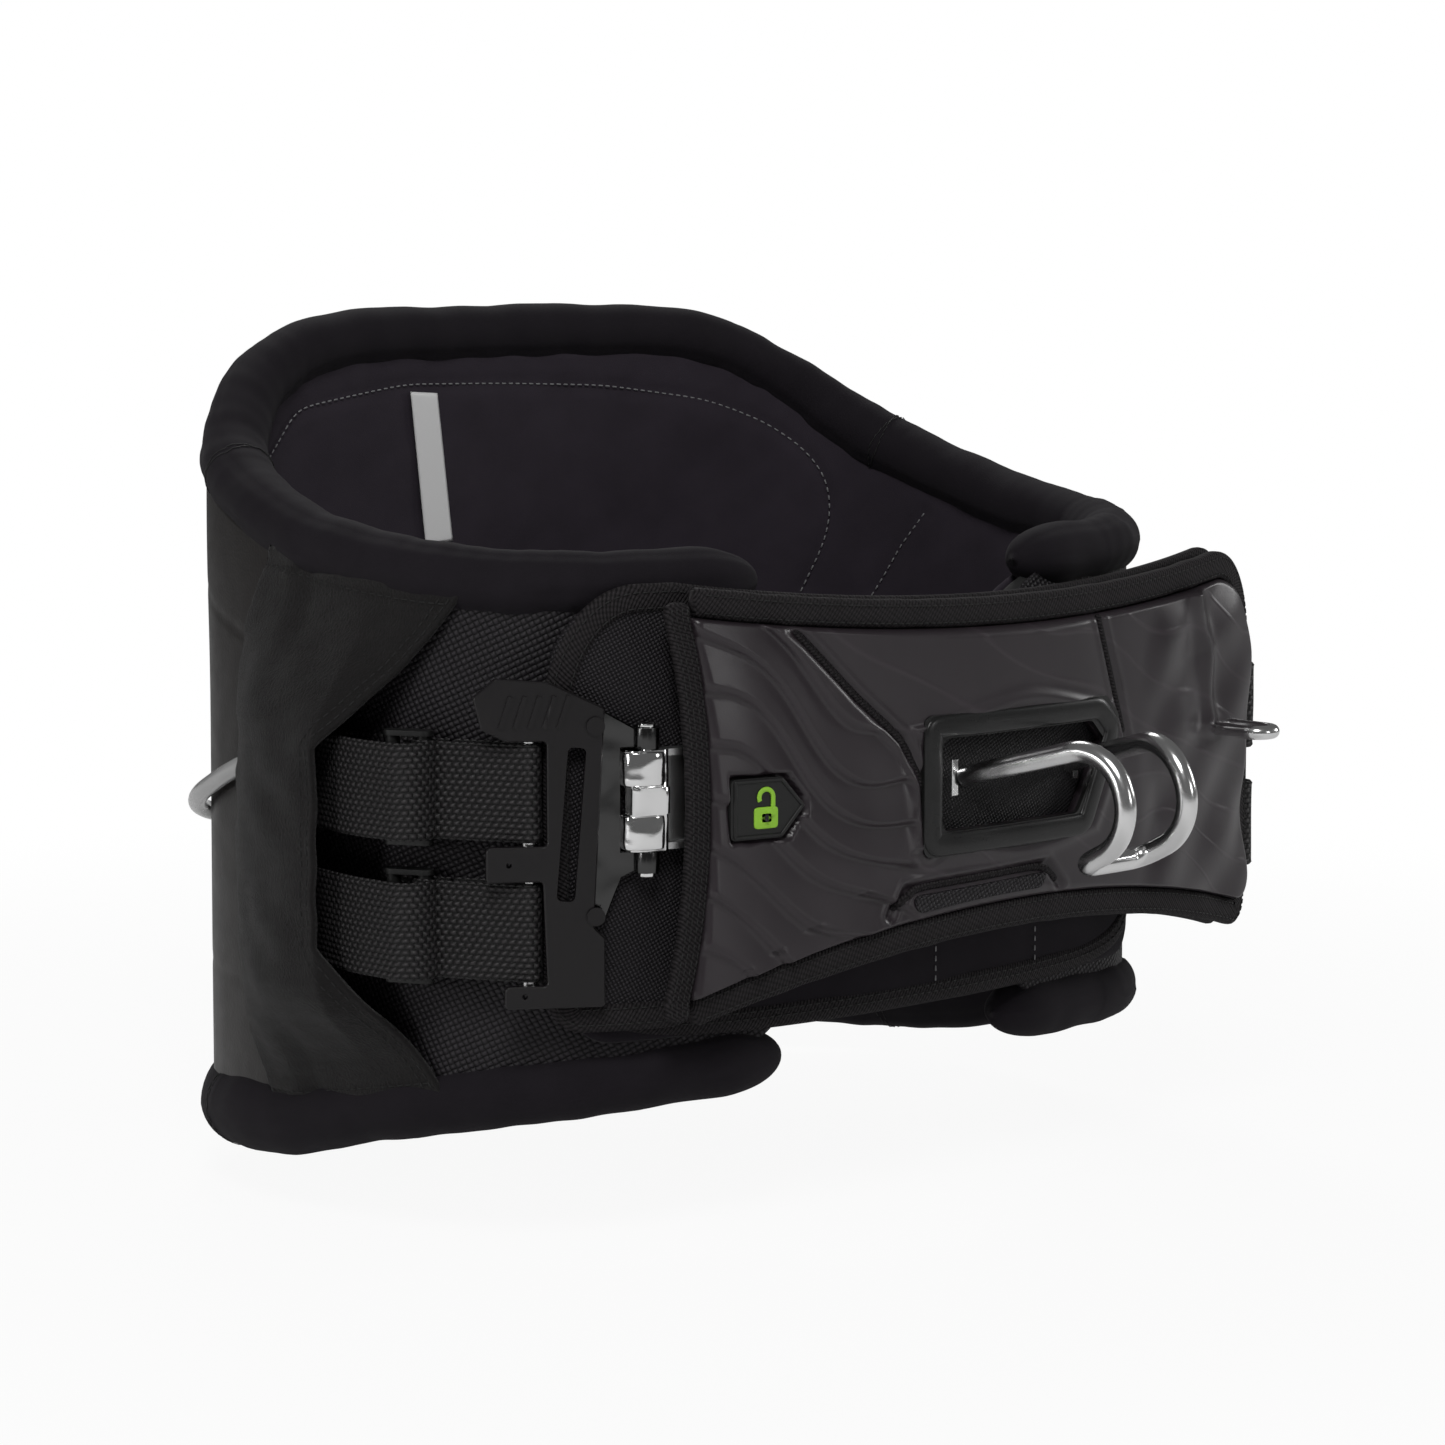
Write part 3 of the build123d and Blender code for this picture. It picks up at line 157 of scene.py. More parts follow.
def slab(front, back):
    """Closed body between two grids that share their outer rows: points and faces."""
    n, m = front.shape[:2]
    front_ids = np.arange(n * m).reshape(n, m)
    back_ids = front_ids.copy()
    back_ids[1:-1, 1:-1] = n * m + np.arange((n - 2) * (m - 2)).reshape(n - 2, m - 2)
    points = np.concatenate([front.reshape(-1, 3), back[1:-1, 1:-1].reshape(-1, 3)])
    return points, [grid_faces(front_ids), grid_faces(back_ids)[:, ::-1]]


def slab_values(values):
    """Values of a slab's front grid, carried to the points of its back grid as well."""
    values = np.asarray(values, dtype=float)
    tail = values.shape[2:]
    return np.concatenate([values.reshape((-1,) + tail), values[1:-1, 1:-1].reshape((-1,) + tail)])


def cloth_uv(s, z):
    """Length and height of a slab's points on its own cloth."""
    return slab_values(np.stack([s, z], axis=-1))


def spread(start, end, columns, rows):
    """Grid whose value runs from start to end over its columns and is the same along each row."""
    return np.linspace(start, end, columns)[:, None] * np.ones((1, rows))


def between(low, high, rows):
    """Grid of equal steps from a low line to a high line: low + (high - low) v."""
    return low + (high - low) * np.linspace(0, 1, rows)[None]


def edge_gap(s, start, end, z, low, high):
    """Distance from each point of a grid to the nearest of its four sides."""
    return np.minimum(np.minimum(s - start, end - s), np.minimum(z - low, high - z))


def closed(loop):
    """The same outline with its first point again at its end."""
    return np.concatenate([loop, loop[:1]])


def ring_grid(grid):
    """Closed body from a grid that runs round in both directions: points and faces."""
    n, m = grid.shape[:2]
    ids = np.arange(n * m).reshape(n, m)
    ids = np.concatenate([ids, ids[:1]])
    ids = np.concatenate([ids, ids[:, :1]], axis=1)
    return grid.reshape(-1, 3), [grid_faces(ids)]


def tube_grid(grid):
    """Closed body from rings of points along a path: each end is closed by one pole in its middle."""
    n, m = grid.shape[:2]
    ids = np.arange(n * m).reshape(n, m)
    ids = np.concatenate([ids, ids[:, :1]], axis=1)
    points = np.concatenate([grid.reshape(-1, 3), grid[:1].mean(axis=1), grid[-1:].mean(axis=1)])
    low, high = n * m, n * m + 1
    start = np.stack([ids[0, 1:], ids[0, :-1], np.full(m, low)], axis=-1)
    end = np.stack([ids[-1, :-1], ids[-1, 1:], np.full(m, high)], axis=-1)
    return points, [grid_faces(ids), start, end]


def strip_uv(length, across, capped=False):
    """Cloth lengths of a grid of points: the length along it and the place across its section.

    Where it is capped, two more rows stand for the poles that close its ends.
    """
    uv = np.stack(np.broadcast_arrays(length[:, None], across[None]), axis=-1).reshape(-1, 2)
    return np.concatenate([uv, [[0, 0], [length[-1], 0]]]) if capped else uv


def unit(v):
    """Vectors of length one, along the last axis."""
    return v / np.maximum(np.linalg.norm(v, axis=-1, keepdims=True), 1e-12)


def grid_normals(grid):
    """Unit normals of a grid surface: the cross product of its two neighbour differences."""
    du = np.gradient(grid, axis=0)
    dv = np.gradient(grid, axis=1)
    return unit(np.cross(du, dv))


def rounded(distance, radius):
    """Quarter-round edge: 0 at the rim and 1 past the radius, sqrt(1 - (1 - d/r)^2) between."""
    t = 1 - np.clip(distance / radius, 0, 1)
    return np.sqrt(np.maximum(1 - t * t, 0))


def smooth_step(x, low, high):
    """Rise from 0 to 1 between two values: t^2 (3 - 2 t)."""
    t = np.clip((x - low) / (high - low), 0, 1)
    return t * t * (3 - 2 * t)


def along(path):
    """Length along a path of points, and its unit tangents."""
    step = np.linalg.norm(np.diff(path, axis=0), axis=1)
    return np.concatenate([[0], np.cumsum(step)]), unit(np.gradient(path, axis=0))


def resample(path, count):
    """The same path with points at equal lengths."""
    length, _ = along(path)
    where = np.linspace(0, length[-1], count)
    return np.stack([np.interp(where, length, path[:, k]) for k in range(path.shape[1])], axis=-1)


def softened(values, spread):
    """Running average with a Gaussian of this many samples, the ends held."""
    reach = int(3 * spread)
    kernel = np.exp(-0.5 * (np.arange(-reach, reach + 1) / spread) ** 2)
    padded = np.pad(values, reach, mode="edge")
    return np.convolve(padded, kernel / kernel.sum(), mode="valid")


def ripple(a, b, seed, size):
    """Smooth uneven field over two lengths: six sine waves in fixed directions, between -1 and 1."""
    total = np.zeros(np.broadcast(a, b).shape)
    for k in range(6):
        turn = seed * 1.7 + k * 2.399
        wave = size * (0.6 + 0.23 * k)
        reach = a * math.cos(turn) + b * math.sin(turn)
        total = total + np.sin(reach * 2 * math.pi / wave + seed * 3.1 + k * 1.3)
    return total / 3.2


def cross_section(count, half_wide, half_high, power=2.0):
    """Rounded section |x/a|^p + |y/b|^p = 1 as points round it."""
    t = np.linspace(0, 2 * math.pi, count, endpoint=False)
    turns = np.stack([np.cos(t), np.sin(t)], axis=-1)
    return np.sign(turns) * np.abs(turns) ** (2 / power) * (half_wide, half_high)


def swept(path, side, section, scale=None):
    """Rings of a section carried along a path: its first axis on side, its second square to both."""
    _, tangent = along(path)
    side = unit(side - tangent * np.einsum("ij,ij->i", side, tangent)[:, None])
    lift = np.cross(tangent, side)
    scale = np.ones(len(path)) if scale is None else scale
    flat = section[None, :, :] * scale[:, None, None]
    return path[:, None] + side[:, None] * flat[..., :1] + lift[:, None] * flat[..., 1:]


def round_ends(length, radius):
    """Scale of a section along a path whose ends are rounded off."""
    near = np.minimum(length, length[-1] - length)
    return np.maximum(rounded(near, radius), 0.02)


# ---------------------------------------------------------------- the belt's ring
def corner_centre():
    """Centre of the small arc that touches the front arc and the side arc from inside."""
    front = np.array([0.0, FRONT_RADIUS - HALF_DEPTH])
    side = np.array([HALF_WIDTH - SIDE_RADIUS, 0.0])
    to_front = FRONT_RADIUS - CORNER_RADIUS
    to_side = SIDE_RADIUS - CORNER_RADIUS
    span = np.linalg.norm(side - front)
    reach = (to_front**2 - to_side**2 + span**2) / (2 * span)
    across = math.sqrt(to_front**2 - reach**2)
    u = (side - front) / span
    return front + reach * u + across * np.array([-u[1], u[0]])


CORNER = corner_centre()
A1 = math.atan2(CORNER[0], FRONT_RADIUS - HALF_DEPTH - CORNER[1])
A2 = math.atan2(CORNER[0] - HALF_WIDTH + SIDE_RADIUS, -CORNER[1])
ARC_ENDS = np.array([0, A1, A2, math.pi - A2, math.pi - A1, math.pi])
ARC_RADII = np.array([FRONT_RADIUS, CORNER_RADIUS, SIDE_RADIUS, CORNER_RADIUS, FRONT_RADIUS])
ARC_X = np.array([0, CORNER[0], HALF_WIDTH - SIDE_RADIUS, CORNER[0], 0])
ARC_Y = np.array([FRONT_RADIUS - HALF_DEPTH, CORNER[1], 0, -CORNER[1], HALF_DEPTH - FRONT_RADIUS])
ARC_LENGTHS = np.concatenate([[0], np.cumsum(np.diff(ARC_ENDS) * ARC_RADII)])
HALF_RING = float(ARC_LENGTHS[-1])


def ring(s):
    """Plan point and outward direction at length s round the ring from its front, towards +X."""
    s = np.mod(s, 2 * HALF_RING)
    half = np.where(s <= HALF_RING, 1.0, -1.0)
    s = np.where(s <= HALF_RING, s, 2 * HALF_RING - s)
    angle = np.interp(s, ARC_LENGTHS, ARC_ENDS)
    k = np.clip(np.searchsorted(ARC_LENGTHS, s, side="right") - 1, 0, 4)
    nx, ny = np.sin(angle), -np.cos(angle)
    x = ARC_X[k] + ARC_RADII[k] * nx
    y = ARC_Y[k] + ARC_RADII[k] * ny
    return x * half, y, nx * half, ny


def ring_length(angle):
    """Length round the ring at an outward direction in degrees from the front."""
    turn = math.radians(min(angle, 360 - angle))
    s = float(np.interp(turn, ARC_ENDS, ARC_LENGTHS))
    return s if angle <= 180 else 2 * HALF_RING - s


RIM_S = np.linspace(0, 2 * HALF_RING, 1401)
RIM_X, RIM_Y = ring(RIM_S)[:2]
RIM_SOFT = 26
RIM_TAIL = (RIM_Y > TAIL_FRONT) & (np.abs(RIM_X) < TAIL_HALF)
RIM_DIP = np.where(RIM_TAIL, TAIL_DIP * (1 - (RIM_X / TAIL_HALF) ** 2), 0)
RIM_TOP = softened(np.interp(RIM_Y, KNOTS_Y, TOP_KNOTS_Z), RIM_SOFT)
RIM_LOW = softened(np.interp(RIM_Y, KNOTS_Y, LOW_KNOTS_Z) - RIM_DIP, RIM_SOFT)


def rim_top(s):
    """Height of the upper rim at a length round the belt."""
    return np.interp(np.mod(s, 2 * HALF_RING), RIM_S, RIM_TOP)


def rim_low(s):
    """Height of the lower rim at a length round the belt."""
    return np.interp(np.mod(s, 2 * HALF_RING), RIM_S, RIM_LOW)


def ring_points(s, offset, z):
    """Points of the belt at length s round it, an offset out of it and a height z."""
    x, y, nx, ny = ring(s)
    return np.stack(np.broadcast_arrays(x + nx * offset, y + ny * offset, z), axis=-1)


def ring_out(s):
    """Directions out of the belt at lengths round it."""
    _, _, nx, ny = ring(s)
    return np.stack([nx, ny, 0 * nx], axis=-1)


def ring_layer(span, faces_at, counts, gap, edge, relief=None, inward=None, tips=(0, 0)):
    """Sewn layer of the belt: a grid over the length round it and the height between its rims.

    It lies between two offsets from the ring and ends a gap inside both rims. Both faces come
    together along the rim by a quarter round; relief adds to the outer face, and inward to the
    inner one, as functions of length and height. The tips are the radii of the corners at the ends.
    """
    (start, end), (inner, outer), (columns, rows) = span, faces_at, counts
    s = spread(start, end, columns, rows)
    cut = sum(corner_cut(far, radius) for far, radius in zip((s - start, end - s), tips) if radius)
    top = rim_top(s) - gap - TOP_TIP * cut
    low = rim_low(s) + gap + cut
    z = between(low, top, rows)
    plump = rounded(edge_gap(s, start, end, z, low, top), edge)
    middle = (inner + outer) / 2
    half = (outer - inner) / 2
    out = middle + half * plump + (relief(s, z) * plump if relief else 0)
    into = middle - half * plump - (inward(s, z) * plump if inward else 0)
    return *slab(ring_points(s, out, z), ring_points(s, into, z)), cloth_uv(s, z)


# ---------------------------------------------------------------- the pad's curved frame
def bar_points(arc, depth, z):
    """Points of the pad: length along its face, depth behind the face, and height.

    Past the left end of the face the surface turns on a tighter circle towards the belt.
    """
    arc, depth, z = np.broadcast_arrays(*(np.asarray(v, float) for v in (arc, depth, z)))
    angle = np.maximum(arc, -PAD_HALF) / BAR_RADIUS
    radius = BAR_RADIUS - depth
    x = radius * np.sin(angle)
    y = BAR_RADIUS - radius * np.cos(angle)
    start = -PAD_HALF / BAR_RADIUS
    turn = start + (arc + PAD_HALF) / TAIL_BEND
    inner = BAR_RADIUS - PAD_DEPTH
    cx = (inner - TAIL_BEND) * math.sin(start)
    cy = BAR_RADIUS - (inner - TAIL_BEND) * math.cos(start)
    reach = TAIL_BEND + PAD_DEPTH - depth
    tail = arc < -PAD_HALF
    x = np.where(tail, cx + reach * np.sin(turn), x)
    y = np.where(tail, cy - reach * np.cos(turn), y)
    c, s = math.cos(BAR_TURN), math.sin(BAR_TURN)
    return np.stack([BAR_X + x * c - y * s, BAR_Y + x * s + y * c, z], axis=-1)


def bar_out(arc, depth, z):
    """Points of the pad and the directions that lead out of its face there."""
    points = bar_points(arc, depth, z)
    return points, unit(bar_points(arc, np.asarray(depth) - 1.0, z) - points)


def pad_top(arc, grow=0.0):
    """Upper edge of the pad's face: middle + (end - middle) (arc / half)^2."""
    return TOP_MIDDLE + (TOP_END - TOP_MIDDLE) * np.minimum(np.abs(arc) / PAD_HALF, 1) ** 2 + grow


def pad_low(arc, grow=0.0):
    """Lower edge of the pad's face, of the same form."""
    return LOW_MIDDLE + (LOW_END - LOW_MIDDLE) * np.minimum(np.abs(arc) / PAD_HALF, 1) ** 2 - grow


def pad_slab(arc, z, depth, half):
    """Slab along the pad, half a thickness to each side of a depth, with its own cloth lengths."""
    return *slab(bar_points(arc, depth - half, z), bar_points(arc, depth + half, z)), cloth_uv(arc, z)


def mouth(z):
    """Left end of the pad's face: hollowed by an arc round the bar's tunnel."""
    middle = (TOP_END + LOW_END) / 2
    return -PAD_HALF + SCOOP * (1 - ((z - middle) / (TOP_END - middle)) ** 2)


def corner_cut(distance, radius):
    """How far a rounded corner of this radius is cut back at a distance from its side."""
    t = np.clip(1 - distance / radius, 0, 1)
    return radius * (1 - np.sqrt(np.maximum(1 - t * t, 0)))


# ---------------------------------------------------------------- stitches and other small repeats
def stitches(name, paths, normals, colour, pitch=None, share=0.68, radius=0.32, sink=0.1):
    """Row of thread stitches along each path: one six-sided capsule per stitch, laid on the surface.

    A stitch fills a share of its pitch, and its underside is sunk into the cloth.
    """
    pitch = pitch or bpy.context.scene.harness_sizes.stitch / MM
    rings = np.array([[-0.5, 0.15], [-0.42, 0.8], [0.42, 0.8], [0.5, 0.15]])
    turn = np.linspace(0, 2 * math.pi, 6, endpoint=False)
    blocks = []
    ids = []
    count = 0
    for path, normal in zip(paths, normals):
        length, tangent = along(path)
        n = max(int(length[-1] / pitch), 1)
        where = (np.arange(n) + 0.5) * length[-1] / n
        pick = lambda values: np.stack([np.interp(where, length, values[:, k]) for k in range(3)], axis=-1)
        centre = pick(path)
        t = unit(pick(tangent))
        up = unit(pick(np.broadcast_to(normal, path.shape)))
        side = np.cross(t, up)
        u = rings[:, :1] * pitch * share
        ring_shape = rings[:, 1:] * radius
        shape = (
            t[:, None, None] * u[None, :, None]
            + side[:, None, None] * (ring_shape * np.cos(turn))[None, :, :, None]
            + up[:, None, None] * (ring_shape * np.sin(turn) * 0.8 + radius - sink)[None, :, :, None]
        )
        grid = centre[:, None, None] + shape
        blocks.append(grid.reshape(-1, 3))
        base = np.arange(24).reshape(4, 6)
        base = np.concatenate([base, base[:, :1]], axis=1)
        quads = grid_faces(base)
        starts = count + 24 * np.arange(n)
        ids.append((quads[None] + starts[:, None, None]).reshape(-1, 4))
        for row, flip in ((0, -1), (18, 1)):
            cap = (np.arange(6)[::flip] + row)[None] + starts[:, None]
            ids.append(np.concatenate([cap[:, :4], cap[:, [0, 3, 4, 5]]]))
        count += 24 * n
    return piece(name, (np.concatenate(blocks), [np.concatenate(ids)]), colour)


# ---------------------------------------------------------------- shader maths as expressions
def maths(operation, turned=False):
    """Method that adds one Math node; turned swaps its two values."""

    def method(self, *others):
        values = (self,) + others
        values = values[::-1] if turned else values
        return self.finish.value("ShaderNodeMath", {"operation": operation}, values)

    return method


class Value:
    """One output socket of a material, whose arithmetic adds Math nodes."""

    def __init__(self, finish, socket):
        self.finish = finish
        self.socket = socket

    __add__ = __radd__ = maths("ADD")
    __sub__ = maths("SUBTRACT")
    __rsub__ = maths("SUBTRACT", turned=True)
    __mul__ = __rmul__ = maths("MULTIPLY")
    __truediv__ = maths("DIVIDE")
    __pow__ = maths("POWER")
    __gt__ = maths("GREATER_THAN")
    __abs__ = maths("ABSOLUTE")
    sine = maths("SINE")
    floor = maths("FLOOR")
    fraction = maths("FRACT")

    def step(self, low, high):
        """Smooth rise from 0 to 1 between two values."""
        settings = {"interpolation_type": "SMOOTHSTEP"}
        return self.finish.value("ShaderNodeMapRange", settings, {0: self, 1: low, 2: high, 3: 0.0, 4: 1.0})


class Finish:
    """Principled material of one finish, with one method that adds any other node."""

    def __init__(self, name, colour, roughness, **fixed):
        self.colour = tuple(colour)
        self.material = bpy.data.materials.new(name)
        self.material.use_nodes = True
        self.tree = self.material.node_tree
        self.shader = self.tree.nodes["Principled BSDF"]
        self.shader.inputs["Base Color"].default_value = (*colour, 1.0)
        self.shader.inputs["Roughness"].default_value = roughness
        for key, value in fixed.items():
            self.shader.inputs[key.replace("_", " ").title().replace("Ior", "IOR")].default_value = value

    def node(self, kind, settings=None, inputs=()):
        """Adds a node: its settings first, then the values or links of its sockets."""
        made = self.tree.nodes.new(kind)
        for key, value in (settings or {}).items():
            setattr(made, key, value)
        items = inputs.items() if isinstance(inputs, dict) else enumerate(inputs)
        for key, value in items:
            if isinstance(value, Value):
                self.tree.links.new(value.socket, made.inputs[key])
            else:
                made.inputs[key].default_value = value
        return made

    def value(self, kind, settings=None, inputs=(), output=0):
        """Adds a node and gives one of its outputs."""
        return Value(self, self.node(kind, settings, inputs).outputs[output])

    def feed(self, key, value):
        """Links a value to an input of the shader."""
        self.tree.links.new(value.socket, self.shader.inputs[key])

    def place(self):
        """Position on the object, in millimetres."""
        spot = self.value("ShaderNodeTexCoord", output="Object")
        return self.value("ShaderNodeVectorMath", {"operation": "SCALE"}, {0: spot, 3: 1 / MM})

    def weave_place(self):
        """Length and height on the piece's own cloth, in millimetres."""
        spot = self.value("ShaderNodeUVMap", {"uv_map": "weave"})
        spot = self.value("ShaderNodeVectorMath", {"operation": "SCALE"}, {0: spot, 3: 1 / MM})
        return self.parts(spot)[:2]

    def parts(self, vector):
        """The three numbers of a vector."""
        node = self.node("ShaderNodeSeparateXYZ", inputs=(vector,))
        return [Value(self, socket) for socket in node.outputs]

    def field(self, name):
        """Value that the mesh carries under this name."""
        return self.value("ShaderNodeAttribute", {"attribute_name": name}, output="Fac")

    def noise(self, where, scale, detail=3.0, roughness=0.55):
        """Smooth noise with so many waves in a millimetre."""
        inputs = {"Vector": where, "Scale": scale, "Detail": detail, "Roughness": roughness}
        return self.value("ShaderNodeTexNoise", inputs=inputs)

    def cells(self, where, scale):
        """Distance to the nearest of scattered points, so many in a millimetre."""
        return self.value("ShaderNodeTexVoronoi", {"feature": "F1"}, {"Vector": where, "Scale": scale})

    def blend(self, factor, low, high):
        """Colour between two colours."""
        low = low if isinstance(low, Value) else (*low, 1.0)
        high = high if isinstance(high, Value) else (*high, 1.0)
        node = self.node("ShaderNodeMix", {"data_type": "RGBA"})
        for key, value in ((0, factor), (6, low), (7, high)):
            if isinstance(value, Value):
                self.tree.links.new(value.socket, node.inputs[key])
            else:
                node.inputs[key].default_value = value
        return Value(self, node.outputs[2])

    def tone(self, factor, low, high):
        """Base colour between two multiples of the finish's own colour."""
        shades = ([c * level for c in self.colour] for level in (low, high))
        self.feed("Base Color", self.blend(factor, *shades))

    def relief(self, height, depth, strength=1.0):
        """Bump of this depth in millimetres, from a height between 0 and 1."""
        inputs = {"Height": height, "Distance": depth * MM, "Strength": strength}
        self.feed("Normal", self.value("ShaderNodeBump", inputs=inputs))


def weave_height(finish, u, v, pitch_u, pitch_v):
    """Plain weave: round threads that pass over and under by turns, in a chequer of two pitches."""
    a = u / pitch_u
    b = v / pitch_v
    over = ((a.floor() + b.floor()) * 0.5).fraction() > 0.25
    warp = abs((a.fraction() * math.pi).sine()) ** 0.6 * (abs((b.fraction() * math.pi).sine()) * 0.5 + 0.5)
    weft = abs((b.fraction() * math.pi).sine()) ** 0.6 * (abs((a.fraction() * math.pi).sine()) * 0.5 + 0.5)
    return over * warp + (1 - over) * weft


def grey(level):
    """Neutral colour."""
    return (level, level, level)


def neoprene(name, colour, seed):
    """Matt knitted face over soft foam: fine knit rows, faint mottling and a little lint."""
    f = Finish(name, colour, 0.85, sheen_weight=0.04, sheen_roughness=0.5, specular_ior_level=0.16)
    where = f.place()
    knit = f.noise(where, 2.6, 2.0)
    mottle = f.noise(where, 0.035 + 0.01 * seed, 2.0)
    f.tone(mottle * 0.7 + knit * 0.3, 0.72, 1.35)
    f.feed("Roughness", knit * 0.12 + 0.78)
    f.relief(knit, 0.25, 0.55)
    return f.material


def mesh_cloth(name, colour, pitch):
    """Coarse woven nylon: thick threads in a plain weave, with a painted highlight on their crowns and
    painted shade in the gaps between them.
    """
    f = Finish(name, colour, 0.55, specular_ior_level=0.32)
    u, v = f.weave_place()
    where = f.place()
    height = weave_height(f, u + v * 0.5, v - u * 0.5, pitch, pitch)
    tone = f.noise(where, 0.05, 2.0)
    # Painted highlight on the thread crowns and painted shade in the gaps, varied by a random tone.
    lit = height ** 1.4 * (0.8 + tone * 0.4)
    f.tone(lit, 0.12, 2.3)
    f.feed("Roughness", 0.75 - height * 0.3)
    f.relief(height, 0.7, 1.0)
    return f.material


def webbing_cloth(name, colour):
    """Narrow woven belt: rows of plump threads across its width, with a firm edge on each side, and a painted
    highlight on the thread crowns with painted shade between them.
    """
    f = Finish(name, colour, 0.5, specular_ior_level=0.5)
    u, v = f.weave_place()
    row = v / 2.1
    crown = abs(((u / 3.0 + row.floor() * 0.5) * math.pi).sine()) * abs((row * math.pi).sine())
    height = crown ** 0.7
    fibres = f.noise(f.place(), 3.2, 2.0)
    # Painted highlight on the thread crowns and painted shade between them, with a little random fibre tone.
    lit = crown ** 1.3 * 0.9 + fibres * 0.1
    f.tone(lit, 0.12, 4.0)
    f.feed("Roughness", 0.66 - height * 0.26)
    f.relief(height * 0.9 + fibres * 0.1, 1.2, 1.0)
    return f.material


def tape_cloth(name, colour):
    """Ribbed binding tape: fine ribs across its length, with a painted highlight on their crowns and painted
    shade in the grooves.
    """
    f = Finish(name, colour, 0.7, specular_ior_level=0.2)
    u, v = f.weave_place()
    rib = abs(((u + v * 0.6) * (math.pi / 1.5)).sine())
    fine = abs(((v - u * 0.6) * (math.pi / 2.3)).sine())
    height = rib * 0.65 + fine * 0.35
    tone = f.noise(f.place(), 0.06, 2.0)
    # Painted highlight on the rib crowns and painted shade in the grooves, with a random tone mixed in.
    lit = height ** 1.6 * 0.8 + tone * 0.2
    f.tone(lit, 0.1, 4.2)
    f.relief(height, 0.5, 1.0)
    return f.material


def leatherette(name, colour):
    """Smooth coated cloth: a fine leather grain and a soft gloss that drifts over it."""
    f = Finish(name, colour, 0.4, specular_ior_level=0.34, coat_weight=0.05, coat_roughness=0.3)
    where = f.place()
    grain = f.cells(where, 0.85)
    tone = f.noise(where, 0.02, 3.0)
    f.tone(tone, 0.8, 1.3)
    f.feed("Roughness", 0.3 + f.noise(where, 0.09, 3.0) * 0.2)
    f.relief(grain, 0.12, 0.35)
    return f.material


def suede(name, colour):
    """Brushed microfibre: short nap with a soft sheen and faint creases."""
    f = Finish(name, colour, 0.8, sheen_weight=0.14, sheen_roughness=0.4, specular_ior_level=0.26)
    where = f.place()
    nap = f.noise(where, 1.0, 5.0, 0.75).step(0.35, 0.7)
    wear = f.noise(where, 0.045, 3.0)
    fleck = 1 - f.cells(where, 0.8).step(0.08, 0.3)
    lit = nap * 0.35 + wear * 0.35 + fleck * 0.4
    f.tone(lit, 0.45, 2.3)
    f.feed("Roughness", nap * 0.2 + 0.58)
    f.relief(nap * 0.6 + f.noise(where, 0.28, 3.0) * 0.4, 0.5, 0.8)
    return f.material


def coated_panel(name, colour):
    """Satin moulded skin whose gloss and tone drift over it, with a painted highlight on the edges of its
    steps.
    """
    f = Finish(name, colour, 0.34, specular_ior_level=0.55, coat_weight=0.1, coat_roughness=0.25)
    where = f.place()
    flow = f.field("flow")
    phase = flow.fraction()
    line = 1 - (abs(phase - 0.5) * 2).step(0.0, 0.16)
    satin = f.noise(where, 0.03, 3.0)
    fine = f.noise(where, 1.4, 2.0)
    # The step edges get a painted highlight; the satin noise drifts the tone at random.
    f.tone(satin * 0.5 + line * 0.5, 0.8, 1.5)
    f.feed("Roughness", 0.24 + satin * 0.18 + fine * 0.06)
    f.relief(line * 0.3 + fine * 0.1 + satin * 0.6, 0.5, 0.6)
    return f.material


def metal(name, colour, roughness, brushed=0.0, swell=(0.05, 0.5)):
    """Bright steel: fine random scuffs, draw marks along one axis where it is brushed, and a slow swell.

    The swell is a noise of so many waves per millimetre and so many millimetres high.
    """
    f = Finish(name, colour, roughness, metallic=1.0)
    where = f.place()
    scuff = f.noise(where, 0.25, 5.0, 0.7)
    x, y, z = f.parts(where)
    drawn = f.noise(f.value("ShaderNodeCombineXYZ", inputs=(x * 0.02, y * 0.02, z * 2.2)), 1.4, 2.0)
    f.feed("Roughness", scuff * 0.08 + drawn * (0.12 * brushed) + roughness - 0.04)
    wave = f.noise(where, swell[0], 1.0)
    f.relief(scuff * (0.03 / swell[1]) + drawn * (0.03 / swell[1] * brushed) + wave * 0.9, swell[1], 1.0)
    return f.material


def coated_metal(name, colour):
    """Black coated steel: a satin skin with fine orange peel, whose tone and gloss drift slowly."""
    f = Finish(name, colour, 0.42, specular_ior_level=0.42, coat_weight=0.1, coat_roughness=0.3)
    where = f.place()
    peel = f.noise(where, 1.1, 2.0)
    tone = f.noise(where, 0.05, 4.0)
    f.tone(tone, 0.75, 1.5)
    f.feed("Roughness", 0.34 + tone * 0.14)
    f.relief(peel, 0.05, 0.35)
    return f.material


def moulded(name, colour, roughness=0.5, grain=0.08):
    """Moulded plastic or rubber: a fine spark-eroded grain."""
    f = Finish(name, colour, roughness, specular_ior_level=0.45)
    where = f.place()
    pits = f.noise(where, 1.7, 3.0)
    f.feed("Roughness", pits * 0.16 + roughness - 0.08)
    f.relief(pits, grain, 0.5)
    return f.material


def thread(name, colour):
    """Twisted sewing thread, with painted shade in the grooves of its twist."""
    f = Finish(name, colour, 0.6, specular_ior_level=0.4)
    x, y, z = f.parts(f.place())
    # Painted shade: the colour darkens to 0.6 of itself in the grooves between the twist's plies.
    twist = abs(((x + y + z) * (math.pi / 0.5)).sine())
    f.feed("Base Color", f.blend(twist, [c * 0.6 for c in colour], colour))
    return f.material


